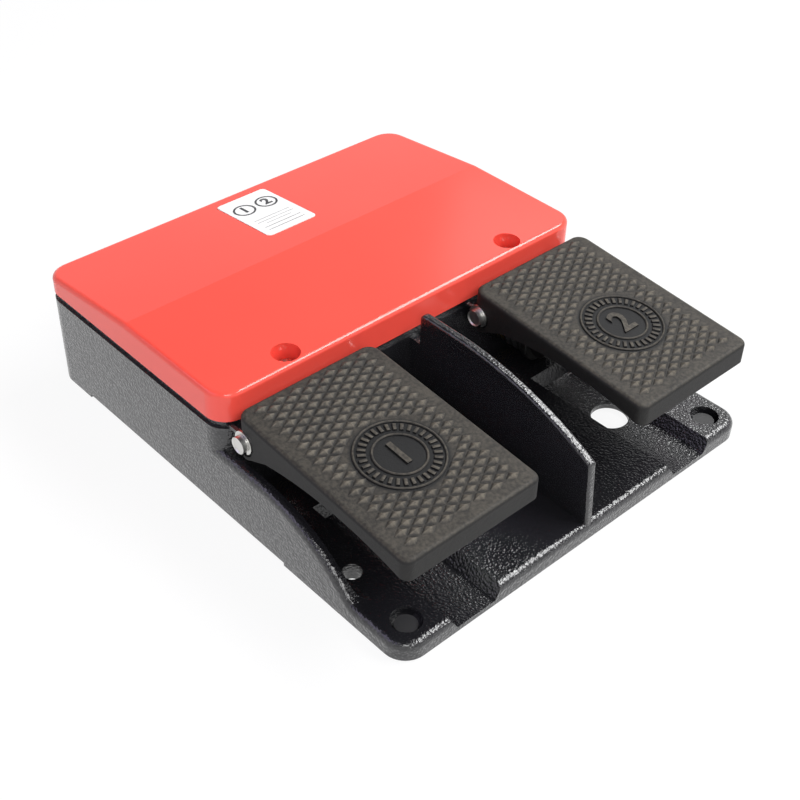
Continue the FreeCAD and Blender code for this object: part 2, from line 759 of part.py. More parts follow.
def cover():
    """The red cover of the box: a shell with two screw wells in front and two tongues behind."""
    body = new_body("cover")
    side = outline(body, "cover_side", "YZ", [
        ("box_front", "cover_bottom"),
        ("base_depth", "cover_bottom"),
        ("base_depth", "cover_rear_top"),
        ("cover_crease", "cover_top"),
        ("box_front", "cover_top"),
    ])
    pad(body, side, "base_width", middle=True)
    half = value("base_width / 2")
    ends = (value("box_front"), value("base_depth"))
    round_edges(body, "cover_corners", "corner_radius",
                lambda edge: upright_at(edge, [(x, y) for x in (-half, half) for y in ends]))
    base = body.Tip
    floor = [f"Face{n}" for n, face in enumerate(base.Shape.Faces, 1)
             if near(face.BoundBox.ZMax, value("cover_bottom"))]
    shell = body.newObject("PartDesign::Thickness", "cover_shell")
    shell.Base = (base, floor)
    shell.Reversed = True
    bind(shell, "Value", "cover_wall")
    lowest = value("cover_rear_top") - 0.01

    def top_edge(edge):
        box = edge.BoundBox
        reach = max(abs(box.XMin), abs(box.XMax))
        wall_edge = near(reach, half) or near(box.YMin, ends[0]) or near(box.YMax, ends[1])
        crease = box.XLength > half and near(box.YMin, value("cover_crease"))
        return box.ZMin > lowest and wall_edge and not crease

    round_edges(body, "cover_top_edges", "cover_edge_round", top_edge)
    for name, sign in SIDES.items():
        x = f"{sign} * cover_screw_offset"
        y = "box_front + cover_screw_inset"
        cylinder(body, f"{name}_well_wall", "cover_well + cover_wall",
                 "cover_top - cover_wall / 2 - rim_top - 2", x, y, "rim_top + 2")
        cylinder(body, f"{name}_well_nose", "cover_boss - 1", "cover_wall", x, y, "rim_top")
        cylinder(body, f"{name}_well", "cover_well", "cover_top", x, y, "cover_seat", cut=True)
        cylinder(body, f"{name}_screw_hole", "screw_thread + 0.5", "cover_top", x, y, "rim_top - 1", cut=True)
        middle = f"{sign} * tongue_offset"
        inside = "base_depth - wall - tongue_play"
        block(body, f"{name}_tongue",
              (f"{middle} - tongue_width / 2", f"{inside} - cover_wall", "cover_bottom - tongue_depth"),
              (f"{middle} + tongue_width / 2", inside, "cover_bottom + cover_wall"))
        block(body, f"{name}_tongue_root",
              (f"{middle} - tongue_width / 2", f"{inside} - 1", "cover_bottom"),
              (f"{middle} + tongue_width / 2", "base_depth - cover_wall / 2", "cover_bottom + cover_wall"))
        block(body, f"{name}_barb",
              (f"{middle} - tongue_width / 2", f"{inside} - 1", "cover_bottom - tongue_depth"),
              (f"{middle} + tongue_width / 2", "base_depth - wall + tongue_barb",
               "cover_bottom - tongue_depth + tongue_barb_height"))
    return body


def cover_gasket():
    """The flat rubber gasket between the rim of the box and the cover."""
    body = new_body("cover_gasket", z="rim_top")
    outer = "(base_width / 2 - rim_inset)"
    inner = "(base_width / 2 - wall)"
    plan = outline(body, "gasket_outside", "XY",
                   rounded_rectangle(f"-{outer}", outer, "box_front + rim_inset", "base_depth - rim_inset",
                                     "(corner_radius - rim_inset)"))
    pad(body, plan, "gasket")
    hole = outline(body, "gasket_inside", "XY",
                   rounded_rectangle(f"-{inner}", inner, "box_front + wall", "base_depth - wall",
                                     "(corner_radius - wall)"))
    pocket(body, hole, "gasket", upward=True)
    return body


def cover_label():
    """A plain label on the sloping rear half of the cover."""
    slope = "atan((cover_top - cover_rear_top) / (base_depth - cover_crease))"
    body = new_body("cover_label", y="base_depth", z="cover_rear_top")
    body.Placement = FreeCAD.Placement(body.Placement.Base, FreeCAD.Rotation(FreeCAD.Vector(-1, 0, 0), 0))
    bind(body, "Placement.Rotation.Angle", slope)
    half = "label_width / 2"
    plan = outline(body, "label_plan", "XY",
                   rounded_rectangle(f"-{half}", half, "-label_rear - label_length", "-label_rear",
                                     "label_corner"))
    pad(body, plan, "label_thickness")
    return body


def screw(body, name, x, y, z, length):
    """One pan head screw, pointing down, whose head sits on z, with a slot across the head."""
    cylinder(body, f"{name}_shank", "screw_thread", length, x, y, f"{z} - {length}")
    cylinder(body, f"{name}_head", "screw_head", "screw_head_depth", x, y, z)
    block(body, f"{name}_slot",
          (f"{x} - screw_head", f"{y} - screw_slot / 2", f"{z} + screw_head_depth / 2"),
          (f"{x} + screw_head", f"{y} + screw_slot / 2", f"{z} + screw_head_depth + 1"), cut=True)


def screws():
    """The screws of the cover and of the switch units, and the earth screw with its washer."""
    covers = new_body("cover_screws")
    mounts = new_body("switch_mount_screws")
    for side, sign in SIDES.items():
        screw(covers, f"{side}_cover", f"{sign} * cover_screw_offset", "box_front + cover_screw_inset",
              "cover_seat", "cover_screw_length")
    for number, (x, y) in enumerate(ear_spots(), 1):
        screw(mounts, f"ear_{number}", x, y, "floor_top + ear_height", "mount_screw_length")
    earth = new_body("earth_screw")
    top = "floor_top + earth_boss_height"
    cylinder(earth, "earth_washer", "earth_boss - 1", "washer_depth", "0", "earth_back", top)
    screw(earth, "earth", "0", "earth_back", f"({top} + washer_depth)", "(earth_boss_height + floor_sheet)")
    return [covers, mounts, earth]


def rubber_feet():
    """Four rubber feet, each pushed up through its hole so that its head holds it."""
    body = new_body("rubber_feet")
    for number, (x, y) in enumerate(foot_spots(), 1):
        cylinder(body, f"disc_{number}", "foot_disc", "foot_stand + foot_recess", x, y, "-foot_stand")
        cylinder(body, f"stem_{number}", "foot_stem", "foot_web", x, y, "foot_recess")
        cylinder(body, f"head_{number}", "foot_head", "foot_head_height", x, y, "foot_recess + foot_web")
    return body


def under_plate(y):
    """The height of the underside of the pedal's plate at y."""
    return f"(pedal_rear_top + ({y} - pedal_rear) * pedal_slope - pedal_plate)"


def pedal(side, sign):
    """One pedal: a cast plate with cheeks and walls, an arm for the plunger and hinge bores."""
    body = new_body(f"{side}_pedal", f"{sign} * pedal_offset", "axle_back", "axle_height")
    toe = "(hinge_round * sin(55 deg))"
    profile = outline(body, f"{side}_cheek", "YZ", [
        ("pedal_rear", "pedal_rear_top"),
        ("-pedal_front", "pedal_front_top"),
        ("-pedal_front", "-pedal_front_bottom", "cheek_arc_radius", 1),
        ("-cheek_arc_end", "-cheek_arc_drop"),
        ("-hinge_round * cos(55 deg)", f"-{toe}", "hinge_round", -1),
        ("pedal_rear", "-sqrt(hinge_round ^ 2 - pedal_rear ^ 2)"),
    ])
    pad(body, profile, "pedal_width", middle=True)
    half = value("pedal_width / 2")
    rear = value("pedal_rear")
    front = -value("pedal_front")
    round_edges(body, f"{side}_rear_corners", "pedal_rear_corner",
                lambda edge: upright_at(edge, [(-half, rear), (half, rear)]))
    round_edges(body, f"{side}_front_corners", "pedal_front_corner",
                lambda edge: upright_at(edge, [(-half, front), (half, front)]))
    hollow = outline(body, f"{side}_hollow", "YZ", [
        ("pedal_rear - cheek", under_plate("(pedal_rear - cheek)")),
        ("-pedal_front + cheek", under_plate("(cheek - pedal_front)")),
        ("-pedal_front + cheek", "-plunger_head"),
        ("pedal_rear + 1", "-plunger_head"),
        ("pedal_rear + 1", "rear_wall_bottom"),
        ("pedal_rear - cheek", "rear_wall_bottom"),
    ])
    pocket(body, hollow, "pedal_width - 2 * cheek", middle=True)
    top = value("pedal_rear_top")

    def rim(edge):
        box = edge.BoundBox
        middle = edge.CenterOfMass
        level = top + (middle.y - rear) * value("pedal_slope")
        return abs(middle.z - level) < 0.3 and box.ZMin > value("pedal_front_top") - 0.4

    round_edges(body, f"{side}_top_edge", "pedal_edge_round", rim)
    pedal_ribs(body, side)
    pedal_arm(body, side)
    pedal_bores(body, side)
    pedal_tread(body, side)
    return body


def tread_point(x, y):
    """One point of the tread: a pyramid on a rhombus, whose root is sunk into the plate."""
    groove = value("tread_groove")
    width = value("tread_width")
    half_width = width / 2 - groove
    half_length = half_width * value("tread_length") / width
    root = -value("tread_root")
    corners = [(-half_width, 0), (0, -half_length), (half_width, 0), (0, half_length)]
    base = [FreeCAD.Vector(x + across, y + along, 0) for across, along in corners]
    low = [corner + FreeCAD.Vector(0, 0, root) for corner in base]
    tip = FreeCAD.Vector(x, y, value("tread_height"))
    faces = [Part.Face(Part.makePolygon(low + low[:1]))]
    for index in range(4):
        after = (index + 1) % 4
        faces.append(Part.Face(Part.makePolygon([base[index], base[after], tip, base[index]])))
        side = [low[index], low[after], base[after], base[index], low[index]]
        faces.append(Part.Face(Part.makePolygon(side)))
    return Part.Solid(Part.Shell(faces))


def pedal_tread(body, side):
    """Rows of points over the whole plate, shifted by half a pitch in every other row, round the disc."""
    width = value("tread_width")
    length = value("tread_length")
    front = value("tread_margin - pedal_front")
    columns = int(value("pedal_width / 2 - tread_margin") / (width / 2))
    rows = int(-front / (length / 2)) + 1
    clear = value("disc_radius") + width / 2 - length / 4
    points = []
    for row in range(rows):
        y = front + row * length / 2
        for column in range(-columns, columns + 1):
            x = column * width / 2
            if (row + column) % 2 == 0 and math.hypot(x, y + value("disc_back")) > clear:
                points.append(tread_point(x, y))
    tread = doc.addObject("Part::Feature", f"{side}_tread_points")
    tread.Shape = Part.makeCompound(points)
    slope = FreeCAD.Rotation(FreeCAD.Vector(1, 0, 0), math.degrees(math.atan(value("pedal_slope"))))
    edge = FreeCAD.Vector(0, value("pedal_rear"), value("pedal_rear_top"))
    start = FreeCAD.Placement(FreeCAD.Vector(0, -edge.y, 0), FreeCAD.Rotation())
    tread.Placement = FreeCAD.Placement(edge, slope) * start
    fuse = body.newObject("PartDesign::Boolean", f"{side}_tread")
    fuse.Type = "Fuse"
    fuse.Group = [tread]
    print(f"{side} pedal: {len(points)} tread points")


def pedal_ribs(body, side):
    """Two stiffening ribs along the underside of the plate."""
    for place, inward in (("inner", "-1"), ("outer", "1")):
        profile = outline(body, f"{side}_{place}_stiffener", "YZ", [
            ("pedal_rear - cheek / 2", f"{under_plate('(pedal_rear - cheek / 2)')} + pedal_plate / 2"),
            ("-pedal_front + cheek / 2", f"{under_plate('(cheek / 2 - pedal_front)')} + pedal_plate / 2"),
            ("-pedal_front + cheek / 2", f"{under_plate('(cheek / 2 - pedal_front)')} - stiffener_depth"),
            ("pedal_rear - cheek / 2", f"{under_plate('(pedal_rear - cheek / 2)')} - stiffener_depth"),
        ], f"{inward} * stiffener_offset - stiffener / 2")
        pad(body, profile, "stiffener")


def pedal_arm(body, side):
    """The arm that hangs in front of the axle and pushes the plunger with its round end."""
    nose = "(arm_thickness / 2)"
    back = "(plunger_front - arm_play - axle_back)"
    drop = "(plunger_height - axle_height)"
    front = f"({back} - arm_thickness)"
    profile = outline(body, f"{side}_arm", "YZ", [
        (back, f"{under_plate(back)} + pedal_plate / 2"),
        (f"{front} - arm_thickness", f"{under_plate(f'({front} - arm_thickness)')} + pedal_plate / 2"),
        (f"{front} - arm_thickness", f"{under_plate(f'({front} - arm_thickness)')} - pedal_plate"),
        (front, f"{drop} + arm_thickness"),
        (front, drop, nose, -1),
        (f"{back} - {nose}", f"{drop} - {nose}", nose, -1),
        (back, drop),
    ])
    pad(body, profile, "arm_width", middle=True)


def pedal_bores(body, side):
    """Hinge bores through both cheeks, each with a shallow recess for its retaining ring."""
    half = "pedal_width / 2"
    cylinder(body, f"{side}_hinge_bore", "axle_bore", "pedal_width + 2", f"-{half} - 1", along="x", cut=True)
    for place, start in (("inner", f"-{half} - 1"), ("outer", f"{half} - ring_recess_depth")):
        cylinder(body, f"{side}_{place}_ring_recess", "ring_recess", "ring_recess_depth + 1",
                 start, along="x", cut=True)


def axle(side, sign):
    """A turned steel axle with a groove near each end for its retaining ring."""
    body = new_body(f"{side}_axle", f"{sign} * pedal_offset", "axle_back", "axle_height")
    radius = "(axle_bore / 2 - axle_play)"
    reach = "(pedal_width / 2 + axle_overhang)"
    groove_in = "(pedal_width / 2 - ring_recess_depth)"
    groove_out = "(pedal_width / 2 - ring_recess_depth + ring_thickness + 2 * ring_play)"
    half = [
        (reach, "0"),
        (reach, f"{radius} - axle_overhang / 4"),
        (f"{reach} - axle_overhang / 4", radius),
        (groove_out, radius),
        (groove_out, "ring_groove / 2"),
        (groove_in, "ring_groove / 2"),
        (groove_in, radius),
    ]
    mirrored = [(f"-{across}", up) for across, up in reversed(half)]
    turn(body, f"{side}_axle_half", "XZ", half + mirrored)
    return body


def axle_retaining_rings():
    """Four open rings that snap into the grooves of the axles."""
    body = new_body("axle_retaining_rings", "0", "axle_back", "axle_height")
    for side, sign in SIDES.items():
        for place, inward in (("inner", "-1"), ("outer", "1")):
            low = (f"{sign} * (pedal_offset + {inward} * (pedal_width / 2 - ring_recess_depth"
                   " + ring_play + ring_thickness / 2)) - ring_thickness / 2")
            name = f"{side}_{place}_ring"
            cylinder(body, name, "ring_diameter", "ring_thickness", low, along="x")
            cylinder(body, f"{name}_bore", "ring_groove + 2 * axle_seat", "ring_thickness + 2",
                     f"{low} - 1", along="x", cut=True)
            block(body, f"{name}_mouth", (f"{low} - 1", "-ring_groove / 3", "-ring_diameter"),
                  (f"{low} + ring_thickness + 1", "ring_groove / 3", "0"), cut=True)
    return body


def plunger(side, sign):
    """A plunger: a wide head outside the box on a rod that reaches the switch button."""
    body = new_body(f"{side}_plunger", f"{sign} * pedal_offset", "plunger_front", "plunger_height")
    rod = "(plunger_rod / 2)"
    head = "(plunger_head / 2)"
    neck = "(collar_front - plunger_front)"
    tip = "(switch_front - button_stroke - button_gap - plunger_front)"
    turn(body, f"{side}_plunger_half", "XY", [
        ("0", "0"),
        (f"{head} - collar_groove", "0"),
        (head, "collar_groove"),
        (head, "plunger_head_depth"),
        (rod, "plunger_head_depth"),
        (rod, neck),
        (f"{rod} - collar_groove", neck),
        (f"{rod} - collar_groove", f"{neck} + collar_width"),
        (rod, f"{neck} + collar_width"),
        (rod, tip),
        ("0", tip),
    ], "V_Axis")
    collar = new_body(f"{side}_plunger_collar", f"{sign} * pedal_offset", "collar_front", "plunger_height")
    cylinder(collar, f"{side}_collar", "collar_diameter", "collar_width", along="y")
    cylinder(collar, f"{side}_collar_bore", "plunger_rod - 2 * collar_groove + 2 * axle_seat",
             "collar_width + 2", y="-1", along="y", cut=True)
    return [body, collar]


def guide_bush(side, sign):
    """A threaded bush in the front wall of the box, which guides the plunger."""
    body = new_body(f"{side}_guide_bush", f"{sign} * pedal_offset", "box_front", "plunger_height")
    outside = "(bush_thread / 2)"
    inside = "(plunger_rod / 2 + plunger_play)"
    nose = "(bush_nose - box_front)"
    turn(body, f"{side}_bush_half", "XY", [
        (inside, nose),
        (outside, nose),
        (outside, "-bush_flange_depth"),
        ("bush_flange / 2", "-bush_flange_depth"),
        ("bush_flange / 2", "0"),
        (outside, "0"),
        (outside, "wall + bush_tail"),
        (inside, "wall + bush_tail"),
    ], "V_Axis")
    return body


def bush_nuts():
    """The nuts that clamp the guide bushes from inside the box."""
    body = new_body("bush_nuts", "0", "box_front + wall", "plunger_height")
    for side, sign in SIDES.items():
        across = f"{sign} * pedal_offset"
        nut = outline(body, f"{side}_nut", "XZ", hexagon("bush_nut_flats", across), "-bush_nut_depth")
        pad(body, nut, "bush_nut_depth")
        cylinder(body, f"{side}_nut_bore", "bush_thread + 2 * thread_play", "bush_nut_depth + 2",
                 across, "-1", along="y", cut=True)
    return body


def boot(side, sign):
    """A rubber bellows between the plunger's head and the flange of the guide bush."""
    front = "(plunger_front + plunger_head_depth)"
    body = new_body(f"{side}_boot", f"{sign} * pedal_offset", front, "plunger_height")
    length = f"(box_front - bush_flange_depth - {front})"
    folds = int(value("boot_folds"))
    step = f"({length} / {2 * folds})"
    radii = ("boot_valley / 2", "boot_outside / 2")
    outside = [(radii[fold % 2], f"{step} * {fold}") for fold in range(2 * folds + 1)]
    inside = [(f"{across} - boot_wall", up) for across, up in reversed(outside)]
    turn(body, f"{side}_boot_half", "XY", outside + inside, "V_Axis")
    return body


def switch_body(side, sign):
    """A switch unit: a block with a button bore in front, a lower terminal step behind and ears."""
    body = new_body(f"{side}_switch_body", f"{sign} * pedal_offset", "switch_front", "floor_top")
    profile = outline(body, f"{side}_switch_side", "YZ", [
        ("0", "0"),
        ("switch_length", "0"),
        ("switch_length", "terminal_height"),
        ("switch_length - terminal_length", "terminal_height"),
        ("switch_length - terminal_length", "switch_height"),
        ("0", "switch_height"),
    ])
    pad(body, profile, "switch_width", middle=True)
    height = "plunger_height - floor_top"
    cylinder(body, f"{side}_button_bore", "button_diameter + 2 * button_play", "button_flange",
             "0", "-1", height, "y", cut=True)
    cylinder(body, f"{side}_button_chamber", "button_flange + 2 * button_play",
             "button_stroke + 2 * button_flange_depth", "0", "button_flange_depth", height, "y", cut=True)
    for place, ear in (("inner", "-1"), ("outer", "1")):
        middle = f"{ear} * (switch_width / 2 + ear_width / 2)"
        block(body, f"{side}_{place}_ear",
              (f"{middle} - ear_width / 2", "ear_back - ear_length / 2", "0"),
              (f"{middle} + ear_width / 2", "ear_back + ear_length / 2", "ear_height"))
        cylinder(body, f"{side}_{place}_ear_hole", "screw_thread + 4 * thread_play", "ear_height + 2",
                 middle, "ear_back", "-1", cut=True)
    for name, x in terminal_row(""):
        cylinder(body, f"{side}_{name}_well", "terminal_screw + 4 * thread_play", "terminal_height",
                 x, "switch_length - terminal_length / 2", "terminal_height / 2", cut=True)
    return body


def terminal_row(middle):
    """Give the name and the place across the unit of its four terminals."""
    names = ("first", "second", "third", "fourth")
    return [(name, f"{middle}({index} - 1.5) * terminal_pitch") for index, name in enumerate(names)]


def switch_terminal_screws():
    """Four slotted terminal screws in each switch unit."""
    body = new_body("switch_terminal_screws", "0", "switch_front + switch_length - terminal_length / 2",
                    "floor_top + terminal_height / 2")
    for side, sign in SIDES.items():
        for name, x in terminal_row(f"{sign} * pedal_offset + "):
            label = f"{side}_{name}"
            cylinder(body, f"{label}_screw", "terminal_screw", "terminal_height / 2 - screw_slot", x)
            block(body, f"{label}_slot",
                  (f"{x} - terminal_screw", "-screw_slot / 2", "terminal_height / 2 - 2 * screw_slot"),
                  (f"{x} + terminal_screw", "screw_slot / 2", "terminal_height / 2"), cut=True)
    return body


def switch_button(side, sign):
    """The button of a switch unit, kept in by its flange."""
    body = new_body(f"{side}_switch_button", f"{sign} * pedal_offset", "switch_front", "plunger_height")
    radius = "(button_diameter / 2)"
    flange = "(button_flange_depth + button_play)"
    turn(body, f"{side}_button_half", "XY", [
        ("0", "-button_stroke"),
        (f"{radius} - collar_groove", "-button_stroke"),
        (radius, "collar_groove - button_stroke"),
        (radius, flange),
        ("button_flange / 2", flange),
        ("button_flange / 2", f"{flange} + button_flange_depth"),
        ("0", f"{flange} + button_flange_depth"),
    ], "V_Axis")
    return body


def cable_gland():
    """The cable gland in the rear wall: body, locknut, rubber seal and dome nut."""
    place = ("0", "base_depth", "gland_height")
    body = new_body("cable_gland", *place)
    cylinder(body, "gland_shank", "gland_thread", "wall + locknut_depth + 1",
             y="-wall - locknut_depth - 1", along="y")
    flange = outline(body, "gland_hexagon", "XZ", hexagon("gland_flats"), "-gland_hex_depth")
    pad(body, flange, "gland_hex_depth")
    cylinder(body, "gland_collar", "gland_neck", "gland_neck_depth", y="gland_hex_depth", along="y")
    cylinder(body, "gland_bore", "gland_bore", "base_width", y="-base_width / 2", along="y", cut=True)
    locknut = new_body("gland_locknut", *place)
    ring = outline(locknut, "locknut_hexagon", "XZ", hexagon("locknut_flats"), "wall")
    pad(locknut, ring, "locknut_depth")
    cylinder(locknut, "locknut_bore", "gland_thread + 2 * thread_play", "base_width",
             y="-base_width / 2", along="y", cut=True)
    nut = new_body("gland_nut", *place)
    start = "gland_hex_depth"
    end = "gland_hex_depth + gland_nut_depth"
    hexes = outline(nut, "dome_hexagon", "XZ", hexagon("gland_flats"), f"-({end} - gland_flats / 4)")
    pad(nut, hexes, "gland_nut_depth - gland_flats / 4")
    turn(nut, "dome", "XY", [
        ("gland_mouth / 2", f"{end} - gland_flats / 2"),
        ("gland_flats / 2", f"{end} - gland_flats / 2"),
        ("gland_flats / 2", f"{end} - gland_flats / 4", "gland_flats / 4", -1),
        ("gland_flats / 4", end),
        ("gland_mouth / 2", end),
    ], "V_Axis")
    cylinder(nut, "mouth", "gland_mouth", "base_width", y="0", along="y", cut=True)
    cylinder(nut, "nut_bore", "gland_neck + 2 * thread_play", f"{end} - gland_lip", along="y", cut=True)
    seal = new_body("gland_seal", *place)
    seal_start = "(gland_hex_depth + gland_neck_depth)"
    cylinder(seal, "seal_ring", "gland_neck", "seal_length", y=seal_start, along="y")
    cylinder(seal, "seal_hole", "seal_bore", "base_width", y="0", along="y", cut=True)
    return [body, locknut, nut, seal]


def biarc(start, end, start_way, end_way):
    """Join two points by two arcs that leave and arrive along the given ways."""
    span = end - start
    both = start_way + end_way
    square = 2 * start_way.dot(end_way) - 2
    half = span.dot(both)
    leg = (half - math.sqrt(half ** 2 - square * span.dot(span))) / square
    first_knee = start + start_way * leg
    second_knee = end - end_way * leg
    joint = (first_knee + second_knee) * 0.5
    return [knee_arc(start, first_knee, joint), knee_arc(joint, second_knee, end)]


def knee_arc(start, knee, end):
    """Give the arc that touches both legs of a knee."""
    leg = (knee - start).Length
    chord = end - start
    inward = start + chord * 0.5 - knee
    radius = chord.Length / 2 * leg / inward.Length
    middle = knee + inward.normalize() * (math.sqrt(radius ** 2 + leg ** 2) - radius)
    return Part.Arc(start, middle, end).toShape()


def return_spring(side, sign):
    """A compression spring round the plunger's rod, one unbroken wire in open turns."""
    radius = value("spring_diameter / 2")
    wire = value("spring_wire")
    turns = int(value("spring_turns"))
    start = value("collar_front + collar_width + spring_seat")
    end = value("switch_front - spring_seat")
    pitch = (end - start - wire) / turns
    quarters = 4 * turns

    def spot(quarter):
        angle = quarter * math.pi / 2
        return FreeCAD.Vector(radius * math.cos(angle), pitch * quarter / 4, radius * math.sin(angle))

    def way(quarter):
        angle = quarter * math.pi / 2
        step = radius * math.pi / 2
        return FreeCAD.Vector(-step * math.sin(angle), pitch / 4, step * math.cos(angle)).normalize()

    edges = []
    for quarter in range(quarters):
        edges += biarc(spot(quarter), spot(quarter + 1), way(quarter), way(quarter + 1))
    path = Part.Wire(edges)
    section = Part.Wire(Part.Circle(spot(0), way(0), wire / 2).toShape())
    shape = path.makePipeShell([section], True, False)
    print(f"{side} spring: pitch {pitch:.2f}, least gap between turns {pitch - wire:.2f}")
    feature = doc.addObject("Part::Feature", f"{side}_return_spring")
    feature.Label = f"{side}_return_spring"
    feature.Shape = shape
    feature.Placement = FreeCAD.Placement(FreeCAD.Vector(
        value(f"{sign} * pedal_offset"),
        value("collar_front + collar_width + spring_seat + spring_wire / 2 - overall_depth / 2"),
        value("plunger_height + foot_stand")), FreeCAD.Rotation())
    return feature


def build_all():
    """Make every sub-part."""
    parts = [base_casting(), cover(), cover_gasket(), cover_label(), rubber_feet()]
    parts += screws()
    for side, sign in SIDES.items():
        parts += [pedal(side, sign), axle(side, sign), guide_bush(side, sign), boot(side, sign)]
        parts += plunger(side, sign)
        parts += [return_spring(side, sign), switch_body(side, sign), switch_button(side, sign)]
    parts += [axle_retaining_rings(), bush_nuts(), switch_terminal_screws()]
    parts += cable_gland()
    return parts


def check(parts):
    """Stop if any object failed or any sub-part has no sound shape."""
    doc.recompute()
    failed = [thing.Name for thing in doc.Objects
              if "Invalid" in thing.State or "Error" in thing.State]
    failed += [part.Label for part in parts if part.Shape.isNull() or not part.Shape.isValid()]
    if failed:
        raise RuntimeError(f"not built: {failed}")


PARTS = build_all()
check(PARTS)
os.makedirs("parts", exist_ok=True)
for part in PARTS:
    part.Shape.exportStep(f"parts/{part.Label}.step")
    print(part.Label, len(part.Shape.Solids), "solids", round(part.Shape.Volume), "mm3")
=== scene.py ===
# %% [markdown]
# # A twin foot pedal switch, dressed for its portrait
#
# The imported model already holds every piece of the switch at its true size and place. This
# lesson gives each surface its finish, adds the small things that a casting drawing leaves out,
# and sets up the studio. Blender counts in metres here, so a size in millimetres is multiplied
# by MM. The frame has x to the right, y to the rear and z up, and its origin lies on the ground
# under the middle of the switch.

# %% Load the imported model
import json
import math

import bmesh
import bpy
from mathutils import Matrix, Vector


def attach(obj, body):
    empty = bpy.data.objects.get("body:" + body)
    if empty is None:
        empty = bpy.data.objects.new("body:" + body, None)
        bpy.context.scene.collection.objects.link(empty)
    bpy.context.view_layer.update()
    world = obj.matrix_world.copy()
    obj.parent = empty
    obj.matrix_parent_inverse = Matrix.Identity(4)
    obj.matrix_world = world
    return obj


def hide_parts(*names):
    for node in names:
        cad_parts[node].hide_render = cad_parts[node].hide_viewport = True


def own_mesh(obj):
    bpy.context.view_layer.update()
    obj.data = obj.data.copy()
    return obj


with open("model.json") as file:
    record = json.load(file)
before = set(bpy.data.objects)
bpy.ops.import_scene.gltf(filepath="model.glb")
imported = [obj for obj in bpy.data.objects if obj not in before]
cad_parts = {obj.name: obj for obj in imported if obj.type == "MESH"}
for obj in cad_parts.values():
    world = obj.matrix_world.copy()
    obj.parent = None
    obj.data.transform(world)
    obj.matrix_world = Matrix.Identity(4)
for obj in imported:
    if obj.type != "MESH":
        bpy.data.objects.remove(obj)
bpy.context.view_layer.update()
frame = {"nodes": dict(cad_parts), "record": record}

MM = 0.001
NODES = frame["nodes"]
SIDES = {"left": -1, "right": 1}
FINISHES = {}
print(len(NODES), "nodes came with the frame")

# %% [markdown]
# Some finishes and pieces have to know where the pedals lie. Each pedal turns on its axle, its
# plate falls gently towards the operator, and a smooth round disc interrupts its tread. The
# plunger stands behind the middle of the pedal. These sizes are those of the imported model.

# %% Where the pedals lie, in millimetres
PEDAL_X = 62.8
AXLE_Y = -32.5
AXLE_Z = 44.2
PEDAL_FRONT = 90.8
PEDAL_REAR = 4.0
PEDAL_FRONT_TOP = 5.0
PEDAL_REAR_TOP = 12.6
TREAD_HEIGHT = 1.2
DISC_BACK = 50.6
PLUNGER_Z = 19.8
PEDAL_FALL = (PEDAL_REAR_TOP - PEDAL_FRONT_TOP) / (PEDAL_FRONT + PEDAL_REAR)
print("each plate falls by", round(math.degrees(math.atan(PEDAL_FALL)), 1), "degrees")

# %% [markdown]
# A material is a small tree of nodes. `linear` turns a colour as a designer writes it into the
# numbers that light adds up in. `add` puts one node into a tree and fills its sockets: a name
# such as From_Min is the socket's own, `_0` picks the first socket by its number, and another
# node's output is linked. The four helpers after it wrap the nodes that come up again and again,
# so that a material reads from top to bottom like a recipe.

# %% Helpers for colours and node trees
WHITE = "#FFFFFF"
# A noise hardly ever leaves this span
NOISE_SPAN = (0.3, 0.7)


def linear(code):
    """Turn an sRGB hex colour into linear red, green, blue and an alpha of one."""
    parts = [int(code[place:place + 2], 16) / 255 for place in (1, 3, 5)]
    return [c / 12.92 if c <= 0.04045 else ((c + 0.055) / 1.055) ** 2.4 for c in parts] + [1.0]


def add(tree, kind, settings=None, **sockets):
    """Add one node, with its settings, and fill or link its input sockets by name or number."""
    node = tree.nodes.new(kind)
    for name, content in (settings or {}).items():
        setattr(node, name, content)
    for name, content in sockets.items():
        by_number = name.startswith("_")
        socket = node.inputs[int(name[1:]) if by_number else name.replace("_", " ")]
        if isinstance(content, bpy.types.NodeSocket):
            tree.links.new(content, socket)
        else:
            socket.default_value = content
    return node


def work_out(tree, operation, *values, clamp=False):
    """Work out one sum of numbers or outputs."""
    sockets = {f"_{place}": value for place, value in enumerate(values)}
    settings = {"operation": operation, "use_clamp": clamp}
    return add(tree, "ShaderNodeMath", settings, **sockets).outputs[0]


def stretch(tree, value, start, end, low, high, kind="LINEAR"):
    """Map the span from start to end onto the span from low to high, and clamp outside it."""
    return add(tree, "ShaderNodeMapRange", {"interpolation_type": kind}, Value=value,
               From_Min=start, From_Max=end, To_Min=low, To_Max=high).outputs[0]


def noise(tree, place, spacing_mm, detail):
    """Give a noise whose lumps lie about that far apart on the object."""
    return add(tree, "ShaderNodeTexNoise", Vector=place.outputs["Object"],
               Scale=1000 / spacing_mm, Detail=detail).outputs[0]


def two_tone(tree, share, first, second):
    """Blend two hex colours by a share; sockets 6 and 7 of a Mix node are its colours."""
    return add(tree, "ShaderNodeMix", {"data_type": "RGBA"}, _0=share,
               _6=linear(first), _7=linear(second)).outputs[2]


def new_material(name):
    """Start a material, and give back the material and its empty tree."""
    print("material", name)
    material = bpy.data.materials.new(name)
    material.use_nodes = True
    material.node_tree.nodes.clear()
    return material, material.node_tree


def finish_material(tree, shader):
    """Link the last shader to the material's output."""
    add(tree, "ShaderNodeOutputMaterial", Surface=shader.outputs[0])


# %% [markdown]
# The camera stands in front of the left corner, a little less than 40 degrees up. Its place comes
# from the straight edges of the casting as the photograph shows them: three sets of parallel
# edges fix the direction and the focal length, and the width of the cover fixes the distance.

